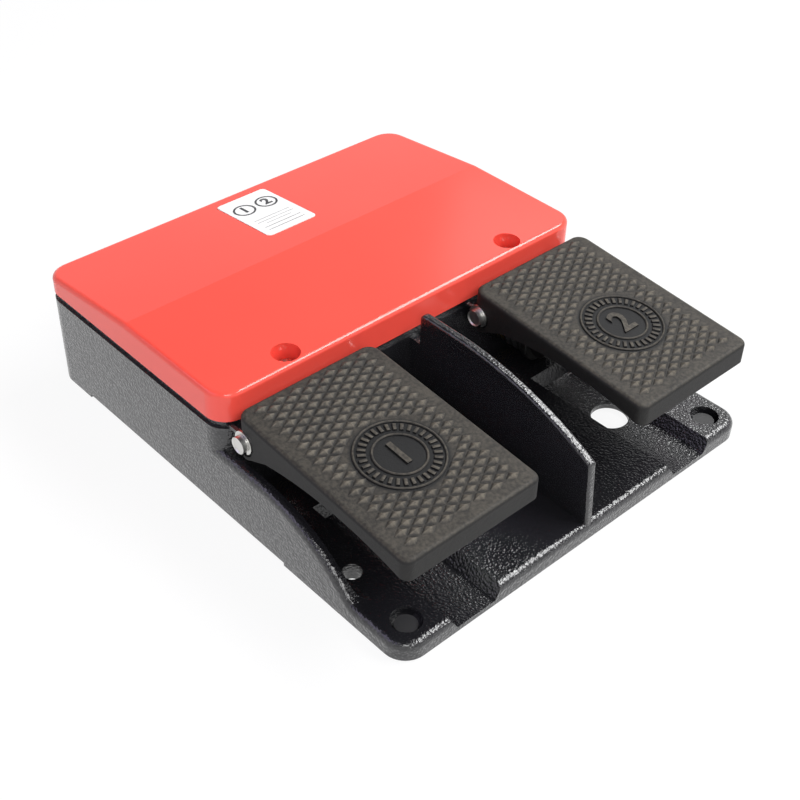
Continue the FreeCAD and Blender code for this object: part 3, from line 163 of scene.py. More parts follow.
# %% Camera at the photograph's angle
CAMERA_TARGET = Vector((2.03, -13.99, 0.8)) * MM
CAMERA_DISTANCE = 593.2 * MM
CAMERA_AZIMUTH = math.radians(-43.6)
CAMERA_ELEVATION = math.radians(39.27)
CAMERA_ROLL = math.radians(1.73)
CAMERA_LENS = 59.9
SENSOR_WIDTH = 36
CLIP_START = 0.01

back = Vector((
    math.sin(CAMERA_AZIMUTH) * math.cos(CAMERA_ELEVATION),
    -math.cos(CAMERA_AZIMUTH) * math.cos(CAMERA_ELEVATION),
    math.sin(CAMERA_ELEVATION),
))
camera = bpy.data.objects.new("camera", bpy.data.cameras.new("camera"))
bpy.context.scene.collection.objects.link(camera)
camera.data.lens = CAMERA_LENS
camera.data.sensor_width = SENSOR_WIDTH
camera.data.clip_start = CLIP_START
look = (-back).to_track_quat("-Z", "Y").to_matrix().to_4x4()
camera.matrix_world = (Matrix.Translation(CAMERA_TARGET + back * CAMERA_DISTANCE) @ look
                       @ Matrix.Rotation(CAMERA_ROLL, 4, "Z"))
bpy.context.scene.camera = camera
print("camera at", [round(c, 3) for c in camera.matrix_world.translation])

# %% [markdown]
# The switch lies on white paper. Paper that is lit by lamps alone would come out grey, or need
# too much light on the object. So nine tenths of what the camera and mirror images see of it is
# a plain white glow, and the last tenth is lit paper, which takes a soft shadow. For all other
# light it is paper. Seen from below it is clear, so that the underside can be looked at too.

# %% Floor of the studio
FLOOR_SIZE = 8.0
FLOOR_GLOW = 0.9


def make_floor():
    """A white sheet that shows as white but takes a soft shadow, and is clear from below."""
    mesh = bpy.data.meshes.new("floor")
    shape = bmesh.new()
    bmesh.ops.create_grid(shape, x_segments=1, y_segments=1, size=FLOOR_SIZE / 2)
    shape.to_mesh(mesh)
    shape.free()
    floor = bpy.data.objects.new("floor", mesh)
    bpy.context.scene.collection.objects.link(floor)
    material, tree = new_material("studio_paper")
    path = add(tree, "ShaderNodeLightPath")
    seen = work_out(tree, "MAXIMUM", path.outputs["Is Camera Ray"], path.outputs["Is Glossy Ray"])
    share = work_out(tree, "MULTIPLY", seen, FLOOR_GLOW)
    paper = add(tree, "ShaderNodeBsdfDiffuse", Color=linear(WHITE))
    glow = add(tree, "ShaderNodeEmission", Color=linear(WHITE), Strength=1.0)
    both = add(tree, "ShaderNodeMixShader", Fac=share, _1=paper.outputs[0], _2=glow.outputs[0])
    side = add(tree, "ShaderNodeNewGeometry")
    clear = add(tree, "ShaderNodeBsdfTransparent")
    finish_material(tree, add(tree, "ShaderNodeMixShader", Fac=side.outputs["Backfacing"],
                              _1=both.outputs[0], _2=clear.outputs[0]))
    mesh.materials.append(material)


make_floor()

# %% [markdown]
# Black gloss paint shows whatever surrounds it, so the surroundings matter as much as the lamps.
# For the camera the room is white. For mirror images it is white near the ground and falls off
# to dark above, which keeps the tray black while the sides of the casting catch light. For all
# other light it is even and faint.

# %% Surroundings
ROOM_LIGHT = 0.2
MIRROR_LOW = 0.1
MIRROR_HIGH = 0.75
MIRROR_TOP = 0.04


def make_surroundings():
    """White to the camera, and a soft room that darkens with height to everything else."""
    world = bpy.data.worlds.new("studio")
    bpy.context.scene.world = world
    world.use_nodes = True
    tree = world.node_tree
    tree.nodes.clear()
    place = add(tree, "ShaderNodeTexCoord")
    height = add(tree, "ShaderNodeSeparateXYZ", Vector=place.outputs["Generated"])
    fall = stretch(tree, height.outputs["Z"], MIRROR_LOW, MIRROR_HIGH, 1.0, MIRROR_TOP, "SMOOTHSTEP")
    path = add(tree, "ShaderNodeLightPath")
    room = add(tree, "ShaderNodeBackground", Color=linear(WHITE), Strength=ROOM_LIGHT)
    mirror = add(tree, "ShaderNodeBackground", Color=linear(WHITE), Strength=fall)
    white = add(tree, "ShaderNodeBackground", Color=linear(WHITE), Strength=1.0)
    soft = add(tree, "ShaderNodeMixShader", Fac=path.outputs["Is Glossy Ray"],
               _1=room.outputs[0], _2=mirror.outputs[0])
    seen = add(tree, "ShaderNodeMixShader", Fac=path.outputs["Is Camera Ray"],
               _1=soft.outputs[0], _2=white.outputs[0])
    add(tree, "ShaderNodeOutputWorld", Surface=seen.outputs[0])
    print("room light", ROOM_LIGHT)


make_surroundings()

# %% [markdown]
# A lamp shows in gloss paint as a white patch wherever the paint faces halfway between lamp and
# camera, so each lamp is placed by what should reflect it. The key is a long strip high on the
# right: the rounded front lips of the tray and of the cover face halfway to it and carry a
# bright band, while the flat floor of the tray doesn't and stays black. A faint glow behind on
# the right wakes the grain of that floor. A softbox in front lights the treads from the side of
# the operator. A wide cool one on the left is faint and high, because a low one would lie as a
# white glare on the gloss cover when one looks from the right.

# %% Lamps: name, place, target, size in metres, watts and colour
COOL_WHITE = "#E4DCFF"
LAMPS = (
    ("key_softbox", (0.62, -0.38, 0.94), (0, -0.1, 0.03), (1.2, 0.36), 17.5, WHITE),
    ("rear_glow", (1.0, 0.6, 0.9), (0.05, -0.08, 0.03), (0.5, 0.4), 0.6, WHITE),
    ("front_softbox", (-0.45, -0.75, 0.75), (0, 0, 0.03), (0.5, 0.5), 4.8, WHITE),
    ("left_softbox", (-0.95, 0.4, 0.9), (0, 0.02, 0.03), (1.3, 0.6), 3.6, COOL_WHITE),
)


def make_lamp(name, place, target, size, watts, colour):
    """A rectangular softbox that looks at a target."""
    light = bpy.data.lights.new(name, "AREA")
    light.color = linear(colour)[:3]
    light.shape = "RECTANGLE"
    light.size, light.size_y = size
    light.energy = watts
    lamp = bpy.data.objects.new(name, light)
    turn = (Vector(target) - Vector(place)).to_track_quat("-Z", "Y").to_matrix().to_4x4()
    lamp.matrix_world = Matrix.Translation(place) @ turn
    bpy.context.scene.collection.objects.link(lamp)
    print(name, watts, "W")


for lamp in LAMPS:
    make_lamp(*lamp)
bpy.context.scene.view_settings.view_transform = "Standard"

# %% [markdown]
# The casting is die-cast aluminium with a black textured powder coat. The powder melts into small
# rounded grains about a millimetre across, so a mirror image breaks up into sparkles along every
# rounded edge. Carving the grains into the mesh would take millions of faces. Here they are a
# bump from smooth cells of that size, with a finer noise on top. The crowns of the grains are
# the glossiest part, so a clear coat is strong on them and weak in the valleys between.

# %% Black textured powder coat
GRAIN_MM = 1.0
GRAIN_SMOOTHNESS = 0.7
GRAIN_DEPTH_MM = 0.22
GRAIN_STRENGTH = 0.9
FINE_SHARE = 0.5
# How far the crown of a grain and the valley beside it lie from the middle of its cell
CROWN = 0.05
VALLEY = 0.55
CROWN_GLOSS = 1.0
VALLEY_GLOSS = 0.3


def powder_coat():
    """Black powder coat on the casting: glossy, with rounded leather-like grains."""
    material, tree = new_material("black_textured_powder_coat")
    place = add(tree, "ShaderNodeTexCoord")
    grains = add(tree, "ShaderNodeTexVoronoi", {"feature": "SMOOTH_F1"},
                 Vector=place.outputs["Object"], Scale=1000 / GRAIN_MM, Smoothness=GRAIN_SMOOTHNESS)
    fine = noise(tree, place, GRAIN_MM / 2, 2.0)
    height = work_out(tree, "MULTIPLY_ADD", fine, FINE_SHARE, grains.outputs["Distance"])
    bump = add(tree, "ShaderNodeBump", {"invert": True}, Height=height, Strength=GRAIN_STRENGTH,
               Distance=GRAIN_DEPTH_MM * MM)
    roughness = stretch(tree, fine, *NOISE_SPAN, 0.12, 0.24)
    gloss = stretch(tree, grains.outputs["Distance"], CROWN, VALLEY, CROWN_GLOSS, VALLEY_GLOSS)
    finish_material(tree, add(
        tree, "ShaderNodeBsdfPrincipled", Base_Color=linear("#1C1C1F"), Roughness=roughness,
        IOR=1.6, Coat_Weight=gloss, Coat_Roughness=0.12, Normal=bump.outputs[0],
        Coat_Normal=bump.outputs[0]))
    return material


FINISHES["base"] = powder_coat()

# %% [markdown]
# The cover has a smooth red gloss coat, sprayed over the same alloy. Sprayed paint is never quite
# flat: it has the faint waves of orange peel, some millimetres apart, which make the mirror image
# of the lamps a little uneven. The red itself wanders between two close tones over patches of
# about eight centimetres.

# %% Red gloss coat
PEEL_MM = 3.0
PEEL_DEPTH_MM = 0.05
PATCH_MM = 1000 / 12


def red_coat():
    """Red gloss coat of the cover, with faint orange peel."""
    material, tree = new_material("red_gloss_coat")
    place = add(tree, "ShaderNodeTexCoord")
    peel = noise(tree, place, PEEL_MM, 1.0)
    bump = add(tree, "ShaderNodeBump", Height=peel, Strength=0.25, Distance=PEEL_DEPTH_MM * MM)
    colour = two_tone(tree, noise(tree, place, PATCH_MM, 2.0), "#F45044", "#F8584B")
    finish_material(tree, add(
        tree, "ShaderNodeBsdfPrincipled", Base_Color=colour, Roughness=0.16, IOR=1.5,
        Normal=bump.outputs[0]))
    return material


FINISHES["cover"] = red_coat()

# %% [markdown]
# The pedals are moulded in glass-filled nylon, dark grey and matt. Dust and wear decide much of how
# they look: the points of the tread are rubbed pale and warm, the plate round them is dusty, and the
# disc in the middle stays clean and dark. The sides come out darker than the tops, and the grooves
# between the points carry painted shade. A painted texture could show that, but here the material
# works it out from the shape, so it fits every point. Four shares are multiplied: the place, most
# on the points and none on the disc, then chance, as blotches with specks, then how much a spot
# faces up, and how open it is to the air, which is what ambient occlusion measures; that last one
# is painted shade in the grooves.

# %% Dust and painted shade on the nylon
DISC_EDGE = (17.5, 20.0)
PLATE_DUST = 0.35
BLOTCH_MM = 14
SPECK_MM = 1.4
SPECK_SPAN = (0.35, 0.65)
SPECK_DUST = 0.8
FACES_UP = (0.5, 0.8)
# Sideways faces are multiplied by this share, so the sides come out darker than the tops
SIDE_SHARE = 0.12
# Painted shade in the grooves: the reach of the ambient occlusion, and the openness it maps from none
# to full
GROOVE_MM = 1.6
GROOVE_OPENNESS = (0.86, 0.97)
# The height that the sloping plate would reach where y is zero
PLATE_LEVEL = AXLE_Z + PEDAL_REAR_TOP - PEDAL_FALL * (AXLE_Y + PEDAL_REAR)
print("dust is measured from", round(PLATE_LEVEL, 2), "mm up")


def dust_by_place(tree, place):
    """More dust on the points than on the plate, and none on the disc."""
    spot = add(tree, "ShaderNodeSeparateXYZ", Vector=place.outputs["Object"])
    level = work_out(tree, "MULTIPLY_ADD", spot.outputs["Y"], -PEDAL_FALL, spot.outputs["Z"])
    rise = stretch(tree, level, PLATE_LEVEL * MM, (PLATE_LEVEL + TREAD_HEIGHT) * MM, 0.0, 1.0)
    across = work_out(tree, "ABSOLUTE", spot.outputs["X"])
    away = add(tree, "ShaderNodeCombineXYZ", X=across, Y=spot.outputs["Y"])
    reach = add(tree, "ShaderNodeVectorMath", {"operation": "DISTANCE"}, _0=away.outputs[0],
                _1=(PEDAL_X * MM, (AXLE_Y - DISC_BACK) * MM, 0))
    start, end = DISC_EDGE
    outside = stretch(tree, reach.outputs["Value"], start * MM, end * MM, 0.0, PLATE_DUST,
                      "SMOOTHSTEP")
    return work_out(tree, "MULTIPLY_ADD", rise, 1.0, outside, clamp=True)


def dust_by_chance(tree, place):
    """Wide blotches with small specks in them."""
    speck = stretch(tree, noise(tree, place, SPECK_MM, 3.0), *SPECK_SPAN, 0.0, SPECK_DUST)
    return work_out(tree, "MULTIPLY_ADD", noise(tree, place, BLOTCH_MM, 4.0), 1.0, speck)


def facing_and_groove_shade(tree, place):
    """Darker on what faces sideways, and painted shade in the grooves from ambient occlusion."""
    facing = add(tree, "ShaderNodeSeparateXYZ", Vector=place.outputs["Normal"])
    upward = stretch(tree, facing.outputs["Z"], *FACES_UP, SIDE_SHARE, 1.0)
    # Painted shade: ambient occlusion darkens the grooves between the points
    groove_shade = add(tree, "ShaderNodeAmbientOcclusion", {"samples": 6}, Distance=GROOVE_MM * MM)
    return upward, stretch(tree, groove_shade.outputs["AO"], *GROOVE_OPENNESS, 0.0, 1.0)


# %% [markdown]
# With the dust and the painted shade worked out, the nylon itself is simple: one dark colour, one
# dust colour, and the fine grain that spark erosion leaves in the mould as a bump.

# %% Glass-filled nylon
ERODED_MM = 0.6
ERODED_DEPTH_MM = 0.15


def nylon():
    """Matt dark grey nylon of the pedals, with its dust, darker sides and painted shade in its
    grooves.
    """
    material, tree = new_material("glass_filled_nylon")
    place = add(tree, "ShaderNodeTexCoord")
    share = work_out(tree, "MULTIPLY", dust_by_place(tree, place), dust_by_chance(tree, place))
    # The last two shares leave the sides darker and paint shade into the grooves
    for part in facing_and_groove_shade(tree, place):
        share = work_out(tree, "MULTIPLY", share, part)
    bump = add(tree, "ShaderNodeBump", Height=noise(tree, place, ERODED_MM, 3.0), Strength=0.8,
               Distance=ERODED_DEPTH_MM * MM)
    finish_material(tree, add(
        tree, "ShaderNodeBsdfPrincipled", Base_Color=two_tone(tree, share, "#131314", "#5F594F"),
        Roughness=0.6, IOR=1.53, Specular_IOR_Level=0.3, Normal=bump.outputs[0]))
    return material


FINISHES["pedal"] = nylon()

# %% [markdown]
# The small metal parts are bare turned steel, zinc-plated steel and turned brass. Turning leaves
# fine rings, too close to see one by one at this distance, so they show only as a slight change
# of roughness from place to place.

# %% Turned and plated metals
MARK_DEPTH_MM = 0.02


def metal(name, colour, rough_low, rough_high, spacing_mm):
    """A bare metal whose roughness wanders a little over the surface."""
    material, tree = new_material(name)
    place = add(tree, "ShaderNodeTexCoord")
    marks = noise(tree, place, spacing_mm, 2.0)
    roughness = stretch(tree, marks, *NOISE_SPAN, rough_low, rough_high)
    bump = add(tree, "ShaderNodeBump", Height=marks, Strength=0.2, Distance=MARK_DEPTH_MM * MM)
    finish_material(tree, add(
        tree, "ShaderNodeBsdfPrincipled", Base_Color=linear(colour), Metallic=1.0,
        Roughness=roughness, Normal=bump.outputs[0]))
    return material


FINISHES["steel"] = metal("turned_steel", "#D6D5D2", 0.3, 0.45, 0.5)
FINISHES["zinc"] = metal("bright_zinc_plate", "#D2D0CB", 0.2, 0.35, 0.8)
FINISHES["brass"] = metal("turned_brass", "#D8B56A", 0.25, 0.38, 0.6)

# %% [markdown]
# The rest is rubber and moulded plastic: black rubber for the bellows, feet and seals, black
# acetal for the plungers, black polyamide for the gland, a black switch case and a red button,
# and the white film of the label with its dark grey print. They differ in colour, roughness and
# mould grain only, so one function makes them all. Each has two near tones, because no moulded
# surface is one colour all over.

# %% Rubber, moulded plastics, film and print
TONE_MM = 20


def moulded(name, dark, light, roughness, grain_mm, depth_mm, ior=1.5):
    """A moulded plastic or rubber of two near tones, with its mould grain."""
    material, tree = new_material(name)
    place = add(tree, "ShaderNodeTexCoord")
    bump = add(tree, "ShaderNodeBump", Height=noise(tree, place, grain_mm, 2.0), Strength=0.4,
               Distance=depth_mm * MM)
    finish_material(tree, add(
        tree, "ShaderNodeBsdfPrincipled",
        Base_Color=two_tone(tree, noise(tree, place, TONE_MM, 2.0), dark, light),
        Roughness=roughness, IOR=ior, Normal=bump.outputs[0]))
    return material


FINISHES.update({
    "rubber": moulded("black_moulded_rubber", "#2A2A2B", "#363637", 0.45, 0.8, 0.05, 1.52),
    "acetal": moulded("black_acetal", "#1B1B1B", "#232323", 0.4, 1.0, 0.02, 1.48),
    "switch_case": moulded("black_thermoset", "#17181A", "#202123", 0.5, 0.7, 0.03),
    "button": moulded("red_button_plastic", "#A81C16", "#B4241C", 0.4, 0.8, 0.02),
    "gland": moulded("black_polyamide", "#1A1A1B", "#242425", 0.5, 0.6, 0.04, 1.53),
    "label": moulded("white_label_film", "#EEEEEC", "#F4F4F2", 0.35, 1.5, 0.01),
    "ink": moulded("dark_grey_print", "#3E3E40", "#48484A", 0.5, 0.5, 0.005),
})

# %% [markdown]
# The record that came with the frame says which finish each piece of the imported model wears, so
# dressing them is one loop.

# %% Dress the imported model
SLOTS = {entry["node"]: entry["material_slot"] for entry in frame["record"]["subparts"]}
for name, node in NODES.items():
    node.data.materials.clear()
    node.data.materials.append(FINISHES[SLOTS[name]])
print("finishes on", len(SLOTS), "nodes")

# %% [markdown]
# The new pieces below all begin as a small bmesh, drawn flat or upright round its own origin.
# `spin_profile` spins a half outline into a round body, `numeral` draws a raised numeral, `join`
# puts one shape into another, and `shift` is a move by millimetres. At the end `make_piece`
# carries the shape to its place, and makes it an object that rides on its body in its finish.

# %% Helpers for new pieces
# Size of the font for a numeral one millimetre high
FONT_SHARE = 1.35
# Points closer than this are one point
SAME_MM = 0.001


def shift(x, y, z):
    """Give a move by millimetres."""
    return Matrix.Translation(Vector((x, y, z)) * MM)


def spin_profile(shape, corners, steps):
    """Spin a closed half outline, given as (radius, along Y), once round the Y axis."""
    ring = [shape.verts.new((radius * MM, along * MM, 0)) for radius, along in corners]
    edges = [shape.edges.new((ring[i - 1], ring[i])) for i in range(len(ring))]
    bmesh.ops.spin(shape, geom=ring + edges, cent=(0, 0, 0), axis=(0, 1, 0), angle=math.tau,
                   steps=steps, use_merge=True)
    bmesh.ops.remove_doubles(shape, verts=shape.verts, dist=SAME_MM * MM)
    bmesh.ops.recalc_face_normals(shape, faces=shape.faces)


def stand_up(shape):
    """Turn a shape from the Y axis to the Z axis."""
    bmesh.ops.rotate(shape, verts=shape.verts, matrix=Matrix.Rotation(math.radians(90), 3, "X"))


def numeral(shape, text, height_mm, rise_mm, x_mm, y_mm, weight_mm):
    """Add a raised numeral centred at x, y, its strokes made heavier by a weight."""
    curve = bpy.data.curves.new("numeral", "FONT")
    curve.body = text
    curve.size = height_mm * FONT_SHARE * MM
    curve.offset = weight_mm * MM
    curve.extrude = rise_mm * MM / 2
    curve.align_x = "CENTER"
    curve.align_y = "CENTER"
    maker = bpy.data.objects.new("numeral", curve)
    flat = bpy.data.meshes.new_from_object(maker)
    flat.transform(shift(x_mm, y_mm, rise_mm / 2))
    shape.from_mesh(flat)
    bpy.data.objects.remove(maker)
    bpy.data.curves.remove(curve)
    bpy.data.meshes.remove(flat)


def join(shape, part):
    """Add one bmesh to another and free it."""
    mesh = bpy.data.meshes.new("part")
    part.to_mesh(mesh)
    part.free()
    shape.from_mesh(mesh)
    bpy.data.meshes.remove(mesh)


def make_piece(name, shape, place, finish, body, instead_of=None, smooth=35):
    """Carry a bmesh to its place and make it a piece with its finish, which rides on a body.

    Edges sharper than the smooth angle in degrees stay sharp.
    """
    mesh = bpy.data.meshes.new(name)
    bmesh.ops.transform(shape, matrix=place, verts=shape.verts)
    shape.to_mesh(mesh)
    shape.free()
    mesh.shade_smooth()
    mesh.set_sharp_from_angle(angle=math.radians(smooth))
    mesh.materials.append(FINISHES[finish])
    piece = bpy.data.objects.new(name, mesh)
    bpy.context.scene.collection.objects.link(piece)
    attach(piece, body)
    if instead_of:
        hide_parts(instead_of)
    print(name, len(mesh.polygons), "faces")
    return piece


# %% [markdown]
# Each plunger is sealed by a rubber bellows between its head and the guide bush. It is moulded in
# one piece, so its folds are round, never sharp. A zigzag spun round the axis gives the folds,
# and a bevel of every ridge and valley rounds them. It has to shorten when the pedal goes down.

# %% Bellows
BOOT_FRONT = -38.0
BOOT_REAR = -25.5
BOOT_CREST = 9.5
BOOT_VALLEY = 7.9
BOOT_WALL = 1.1
BOOT_FOLDS = 3
BOOT_ROUND = 0.7
END_MARGIN = 0.1


def fold_edges(shape, length_mm):
    """Find the ridges and valleys: the edges that run round the axis, but not at the ends."""
    folds = []
    for edge in shape.edges:
        first, second = (vertex.co.y for vertex in edge.verts)
        to_an_end = min(abs(first), abs(first - length_mm * MM))
        if abs(first - second) < SAME_MM * MM and to_an_end > END_MARGIN * MM:
            folds.append(edge)
    return folds


def bellows(name, side):
    """One rubber bellows with round folds."""
    shape = bmesh.new()
    length = BOOT_REAR - BOOT_FRONT
    step = length / (2 * BOOT_FOLDS)
    radii = (BOOT_VALLEY, BOOT_CREST)
    outside = [(radii[fold % 2], fold * step) for fold in range(2 * BOOT_FOLDS + 1)]
    inside = [(radius - BOOT_WALL, along) for radius, along in reversed(outside)]
    spin_profile(shape, outside + inside, steps=48)
    bmesh.ops.bevel(shape, geom=fold_edges(shape, length), offset=BOOT_ROUND * MM, segments=3,
                    profile=0.5, affect="EDGES", material=-1)
    place = shift(side * PEDAL_X, BOOT_FRONT, PLUNGER_Z)
    piece = make_piece(f"{name}_bellows", shape, place, "rubber", "housing",
                       instead_of=f"{name}_boot", smooth=60)
    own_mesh(piece)


for name, side in SIDES.items():
    bellows(name, side)

# %% [markdown]
# Inside the box a return spring sits round each rod, between the plunger's collar and the front
# of the switch unit. A small circle spun seven times round the axis, with a step backwards in
# every turn, makes the wire. It too shortens as its plunger comes in.

# %% Return springs
SPRING_FRONT = -11.45
SPRING_REAR = 12.95
SPRING_RADIUS = 5.9
SPRING_WIRE = 1.2
SPRING_TURNS = 7
STEPS_PER_TURN = 28


def coil(name, side):
    """One compression spring, a wire of open turns."""
    shape = bmesh.new()
    length = SPRING_REAR - SPRING_FRONT
    steps = SPRING_TURNS * STEPS_PER_TURN
    rise = (length - SPRING_WIRE) / steps
    bmesh.ops.create_circle(shape, segments=10, radius=SPRING_WIRE / 2 * MM, cap_ends=True)
    bmesh.ops.translate(shape, verts=shape.verts, vec=(SPRING_RADIUS * MM, SPRING_WIRE / 2 * MM, 0))
    bmesh.ops.spin(shape, geom=shape.faces[:], cent=(0, 0, 0), axis=(0, 1, 0),
                   dvec=(0, rise * MM, 0), angle=math.tau * SPRING_TURNS, steps=steps,
                   use_merge=False)
    bmesh.ops.recalc_face_normals(shape, faces=shape.faces)
    place = shift(side * PEDAL_X, SPRING_FRONT, PLUNGER_Z)
    piece = make_piece(f"{name}_spring_wire", shape, place, "steel", "housing",
                       instead_of=f"{name}_return_spring", smooth=80)
    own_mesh(piece)


for name, side in SIDES.items():
    coil(name, side)

# %% [markdown]
# The cover is held by two pan head screws with a cross recess, at the bottom of deep wells. A
# cross could be cut out of a turned head with a boolean, but that leaves ragged faces. Here the
# head grows from its recess outwards: a cross of five faces is joined to a circle, the circle is
# extruded ring by ring over the head and down the thread, and the cross is pushed in and tapered.

# %% Cover screws
SCREW_X = 62.2
SCREW_Y = -15.9
SCREW_SEAT = 52.4
SCREW_ANGLES = {"left": -15, "right": 35}
HEAD_TOP = 2.8
# Radius and height of each ring, from the recess over the head and down the thread
HEAD_RINGS = (
    (2.7, 2.72),
    (3.4, 2.4),
    (3.85, 1.8),
    (4.0, 1.0),
    (4.0, 0.0),
    (1.95, 0.0),
    (1.95, -13.5),
    (1.5, -14.0),
)
CROSS_REACH = 2.3
CROSS_ARM = 0.6
CROSS_DEPTH = 1.6
CROSS_TAPER = 0.72


def cross_faces(shape):
    """Draw a cross of five faces, level with the top of the head."""
    bmesh.ops.create_grid(shape, x_segments=3, y_segments=3, size=CROSS_REACH * MM)
    # The inner lines of the grid move in to the width of the arms
    for vertex in shape.verts:
        for axis in (0, 1):
            if abs(vertex.co[axis]) < CROSS_REACH * MM * 0.9:
                vertex.co[axis] = math.copysign(CROSS_ARM * MM, vertex.co[axis])
        vertex.co.z = HEAD_TOP * MM
    middles = {face: face.calc_center_median() for face in shape.faces}
    corners = [face for face, middle in middles.items()
               if min(abs(middle.x), abs(middle.y)) > CROSS_ARM * MM]
    bmesh.ops.delete(shape, geom=corners, context="FACES")
    return shape.faces[:]


def grow_head(shape):
    """Join the rim of the cross to a circle, and extrude that over the head and down the thread."""
    rim = [edge for edge in shape.edges if edge.is_boundary]
    radius, height = HEAD_RINGS[0]
    circle = bmesh.ops.create_circle(shape, segments=24, radius=radius * MM)["verts"]
    bmesh.ops.translate(shape, verts=circle, vec=(0, 0, height * MM))
    ring = list({edge for vertex in circle for edge in vertex.link_edges})
    bmesh.ops.bridge_loops(shape, edges=rim + ring)
    for (before, _), (radius, height) in zip(HEAD_RINGS, HEAD_RINGS[1:]):
        grown = bmesh.ops.extrude_edge_only(shape, edges=ring)["geom"]
        moved = [thing for thing in grown if isinstance(thing, bmesh.types.BMVert)]
        bmesh.ops.scale(shape, verts=moved, vec=(radius / before, radius / before, 1))
        for vertex in moved:
            vertex.co.z = height * MM
        ring = [thing for thing in grown
                if isinstance(thing, bmesh.types.BMEdge) and thing.is_boundary]
    bmesh.ops.edgeloop_fill(shape, edges=ring)


def sink_cross(shape, cross):
    """Push the cross into the head and taper it."""
    sunk = bmesh.ops.extrude_face_region(shape, geom=cross)["geom"]
    bottom = [thing for thing in sunk if isinstance(thing, bmesh.types.BMVert)]
    bmesh.ops.translate(shape, verts=bottom, vec=(0, 0, -CROSS_DEPTH * MM))
    bmesh.ops.scale(shape, verts=bottom, vec=(CROSS_TAPER, CROSS_TAPER, 1))
    left_over = [face for face in cross if face.is_valid]
    bmesh.ops.delete(shape, geom=left_over, context="FACES_ONLY")


def pan_head_screw(name, side):
    """One cross recess pan head screw, its head at the bottom of the cover's well."""
    shape = bmesh.new()
    cross = cross_faces(shape)
    grow_head(shape)
    sink_cross(shape, cross)
    bmesh.ops.recalc_face_normals(shape, faces=shape.faces)
    turn = Matrix.Rotation(math.radians(SCREW_ANGLES[name]), 4, "Z")
    place = shift(side * SCREW_X, SCREW_Y, SCREW_SEAT) @ turn
    make_piece(f"{name}_cover_screw", shape, place, "zinc", "housing",
               instead_of="cover_screws", smooth=40)


for name, side in SIDES.items():
    pan_head_screw(name, side)

# %% [markdown]
# Under each head lie a flat washer and a spring washer, so that the screw stays tight on a machine
# that shakes, and they lift the head to where the photograph shows it. The flat one is a spun
# profile. The spring one is a small rectangle, spun not quite once round while it rises.

# %% Washers under the screws
WELL_SEAT = 50.1
WASHER_ANGLES = {"left": 130, "right": 270}
FLAT_TOP = 0.95
# Radius and height of each corner of the half outline
FLAT_WASHER = (
    (2.15, 0.0),
    (4.4, 0.0),
    (4.5, 0.1),
    (4.5, 0.8),
    (4.35, FLAT_TOP),
    (2.3, FLAT_TOP),
    (2.15, 0.8),
)
SPLIT_INNER = 2.1
SPLIT_OUTER = 3.6
SPLIT_THICKNESS = 1.0
SPLIT_LIFT = 0.3
SPLIT_GAP = 12
SPLIT_STEPS = 40


def screw_washers(name, side):
    """A flat washer with a split spring washer on it."""
    shape = bmesh.new()
    corners = (
        (SPLIT_INNER, 0),
        (SPLIT_OUTER, 0),
        (SPLIT_OUTER, SPLIT_THICKNESS),
        (SPLIT_INNER, SPLIT_THICKNESS),
    )
    section = shape.faces.new([shape.verts.new((out * MM, 0, up * MM)) for out, up in corners])
    bmesh.ops.spin(shape, geom=[section], cent=(0, 0, 0), axis=(0, 0, 1),
                   angle=math.radians(360 - SPLIT_GAP), steps=SPLIT_STEPS,
                   dvec=(0, 0, SPLIT_LIFT / SPLIT_STEPS * MM), use_merge=False)
    bmesh.ops.translate(shape, verts=shape.verts, vec=(0, 0, FLAT_TOP * MM))
    bmesh.ops.recalc_face_normals(shape, faces=shape.faces)
    flat = bmesh.new()
    spin_profile(flat, FLAT_WASHER, steps=32)
    stand_up(flat)
    join(shape, flat)
    turn = Matrix.Rotation(math.radians(WASHER_ANGLES[name]), 4, "Z")
    place = shift(side * SCREW_X, SCREW_Y, WELL_SEAT) @ turn
    make_piece(f"{name}_screw_washers", shape, place, "zinc", "housing", smooth=40)


for name, side in SIDES.items():
    screw_washers(name, side)

# %% [markdown]
# On the smooth disc of each pedal stand two raised rings, a wreath of short bars between them and
# a numeral, so that a foot and an eye can tell the pedals apart. All of it is drawn flat: one
# bevelled bar is copied round by a spin, and each ring is a small profile spun round. The whole
# is then tilted onto the sloping plate, sunk a trace into it, and rides on its pedal.

# %% Fields on the pedals
FIELD_RISE = 0.75
FIELD_SINK = 0.05
BAR_COUNT = 32
BAR_WIDTH = 1.5
BAR_LENGTH = 3.4
BAR_RADIUS = 14.3
BAR_ROUND = 0.3
RING_RADII = (17.4, 10.4)
RING_WIDTH = 1.0
RING_CROWN = 0.3
RING_SHOULDER = 0.6
NUMERALS = {"left": "1", "right": "2"}
NUMERAL_HEIGHT = 12.5
NUMERAL_WEIGHT = 0.35


def bar_wreath(shape):
    """Make one bar with rounded upper edges and copy it round."""
    bar = bmesh.ops.create_cube(shape, size=1)["verts"]
    bmesh.ops.scale(shape, verts=bar, vec=Vector((BAR_WIDTH, BAR_LENGTH, FIELD_RISE)) * MM)
    bmesh.ops.translate(shape, verts=bar, vec=Vector((0, BAR_RADIUS, FIELD_RISE / 2)) * MM)
    tops = [edge for edge in shape.edges
            if min(vertex.co.z for vertex in edge.verts) > FIELD_RISE / 2 * MM]
    bmesh.ops.bevel(shape, geom=tops, offset=BAR_ROUND * MM, segments=2, profile=0.5,
                    affect="EDGES", material=-1)
    bmesh.ops.spin(shape, geom=shape.faces[:], cent=(0, 0, 0), axis=(0, 0, 1),
                   angle=math.tau * (1 - 1 / BAR_COUNT), steps=BAR_COUNT - 1, use_duplicate=True)


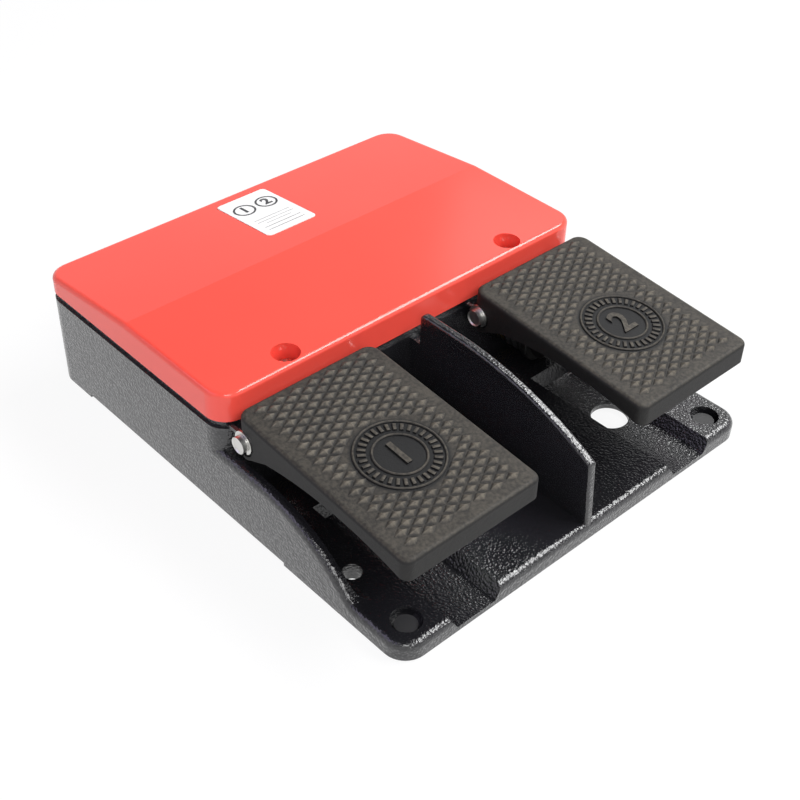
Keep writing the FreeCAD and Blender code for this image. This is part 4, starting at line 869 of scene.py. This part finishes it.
def raised_ring(shape, radius):
    """Add one ring with a rounded top."""
    half = RING_WIDTH / 2
    profile = (
        (-half, 0),
        (-half, RING_SHOULDER * FIELD_RISE),
        (-RING_CROWN * half, FIELD_RISE),
        (RING_CROWN * half, FIELD_RISE),
        (half, RING_SHOULDER * FIELD_RISE),
        (half, 0),
    )
    ring = bmesh.new()
    spin_profile(ring, [(radius + out, up) for out, up in profile], steps=96)
    stand_up(ring)
    join(shape, ring)


def pedal_field(name, side):
    """The raised rings, bars and numeral on one pedal."""
    shape = bmesh.new()
    bar_wreath(shape)
    for radius in RING_RADII:
        raised_ring(shape, radius)
    numeral(shape, NUMERALS[name], NUMERAL_HEIGHT, FIELD_RISE, 0, 0, NUMERAL_WEIGHT)
    place = (shift(side * PEDAL_X, AXLE_Y + PEDAL_REAR, AXLE_Z + PEDAL_REAR_TOP)
             @ Matrix.Rotation(math.atan(PEDAL_FALL), 4, "X")
             @ shift(0, -DISC_BACK - PEDAL_REAR, -FIELD_SINK))
    make_piece(f"{name}_pedal_field", shape, place, "pedal", f"{name}_pedal", smooth=30)


for name, side in SIDES.items():
    pedal_field(name, side)

# %% [markdown]
# The white film on the cover is printed in dark grey. The print here is plain: two numerals in
# rings, one for each pedal, and a few ruled lines for notes. Ink has no thickness worth showing,
# so each line is a flat strip four hundredths of a millimetre above the film, which is just
# enough to keep the two apart when they are rendered.

# %% Print on the label
COVER_FALL = 6.2
COVER_RUN = 62
LABEL_REAR_Y = 103.0
LABEL_REAR_Z = 54.3
LABEL_MIDDLE = -27.0
FILM_THICKNESS = 0.3
PRINT_GAP = 0.04
RULES = (
    (-4.5, 20, 0.25),
    (-7.0, 20, 0.25),
    (-9.5, 14, 0.25),
    (-12.5, 20, 0.35),
    (-15.5, 20, 0.35),
)
SIGN_X = 6.2
SIGN_Y = 8.0
SIGN_RADIUS = 5.4
SIGN_LINE = 1.0
SIGN_NUMERAL = 6
SIGN_WEIGHT = 0.3
INK_RISE = 0.01


def ruled_lines(shape):
    """Add the ruled lines, each given by its place down the label, its length and its width."""
    for y, length, width in RULES:
        strip = bmesh.ops.create_grid(shape, x_segments=1, y_segments=1, size=0.5)["verts"]
        bmesh.ops.scale(shape, verts=strip, vec=Vector((length, width, 1)) * MM)
        bmesh.ops.translate(shape, verts=strip, vec=Vector((0, y, 0)) * MM)


def ringed_numeral(shape, name, side):
    """Add the sign of one pedal: its numeral in a ring, which is a disc with its inside removed."""
    disc = bmesh.ops.create_circle(shape, cap_ends=True, segments=40, radius=SIGN_RADIUS * MM)["verts"]
    bmesh.ops.translate(shape, verts=disc, vec=Vector((side * SIGN_X, SIGN_Y, 0)) * MM)
    inside = disc[0].link_faces[:]
    bmesh.ops.inset_region(shape, faces=inside, thickness=SIGN_LINE * MM, use_even_offset=True,
                           use_boundary=True)
    bmesh.ops.delete(shape, geom=inside, context="FACES")
    numeral(shape, NUMERALS[name], SIGN_NUMERAL, INK_RISE, side * SIGN_X, SIGN_Y, SIGN_WEIGHT)


def label_print():
    """The generic print on the white label."""
    shape = bmesh.new()
    ruled_lines(shape)
    for name, side in SIDES.items():
        ringed_numeral(shape, name, side)
    place = (shift(0, LABEL_REAR_Y, LABEL_REAR_Z)
             @ Matrix.Rotation(-math.atan(COVER_FALL / COVER_RUN), 4, "X")
             @ shift(0, LABEL_MIDDLE, FILM_THICKNESS + PRINT_GAP))
    make_piece("label_print", shape, place, "ink", "housing")


label_print()
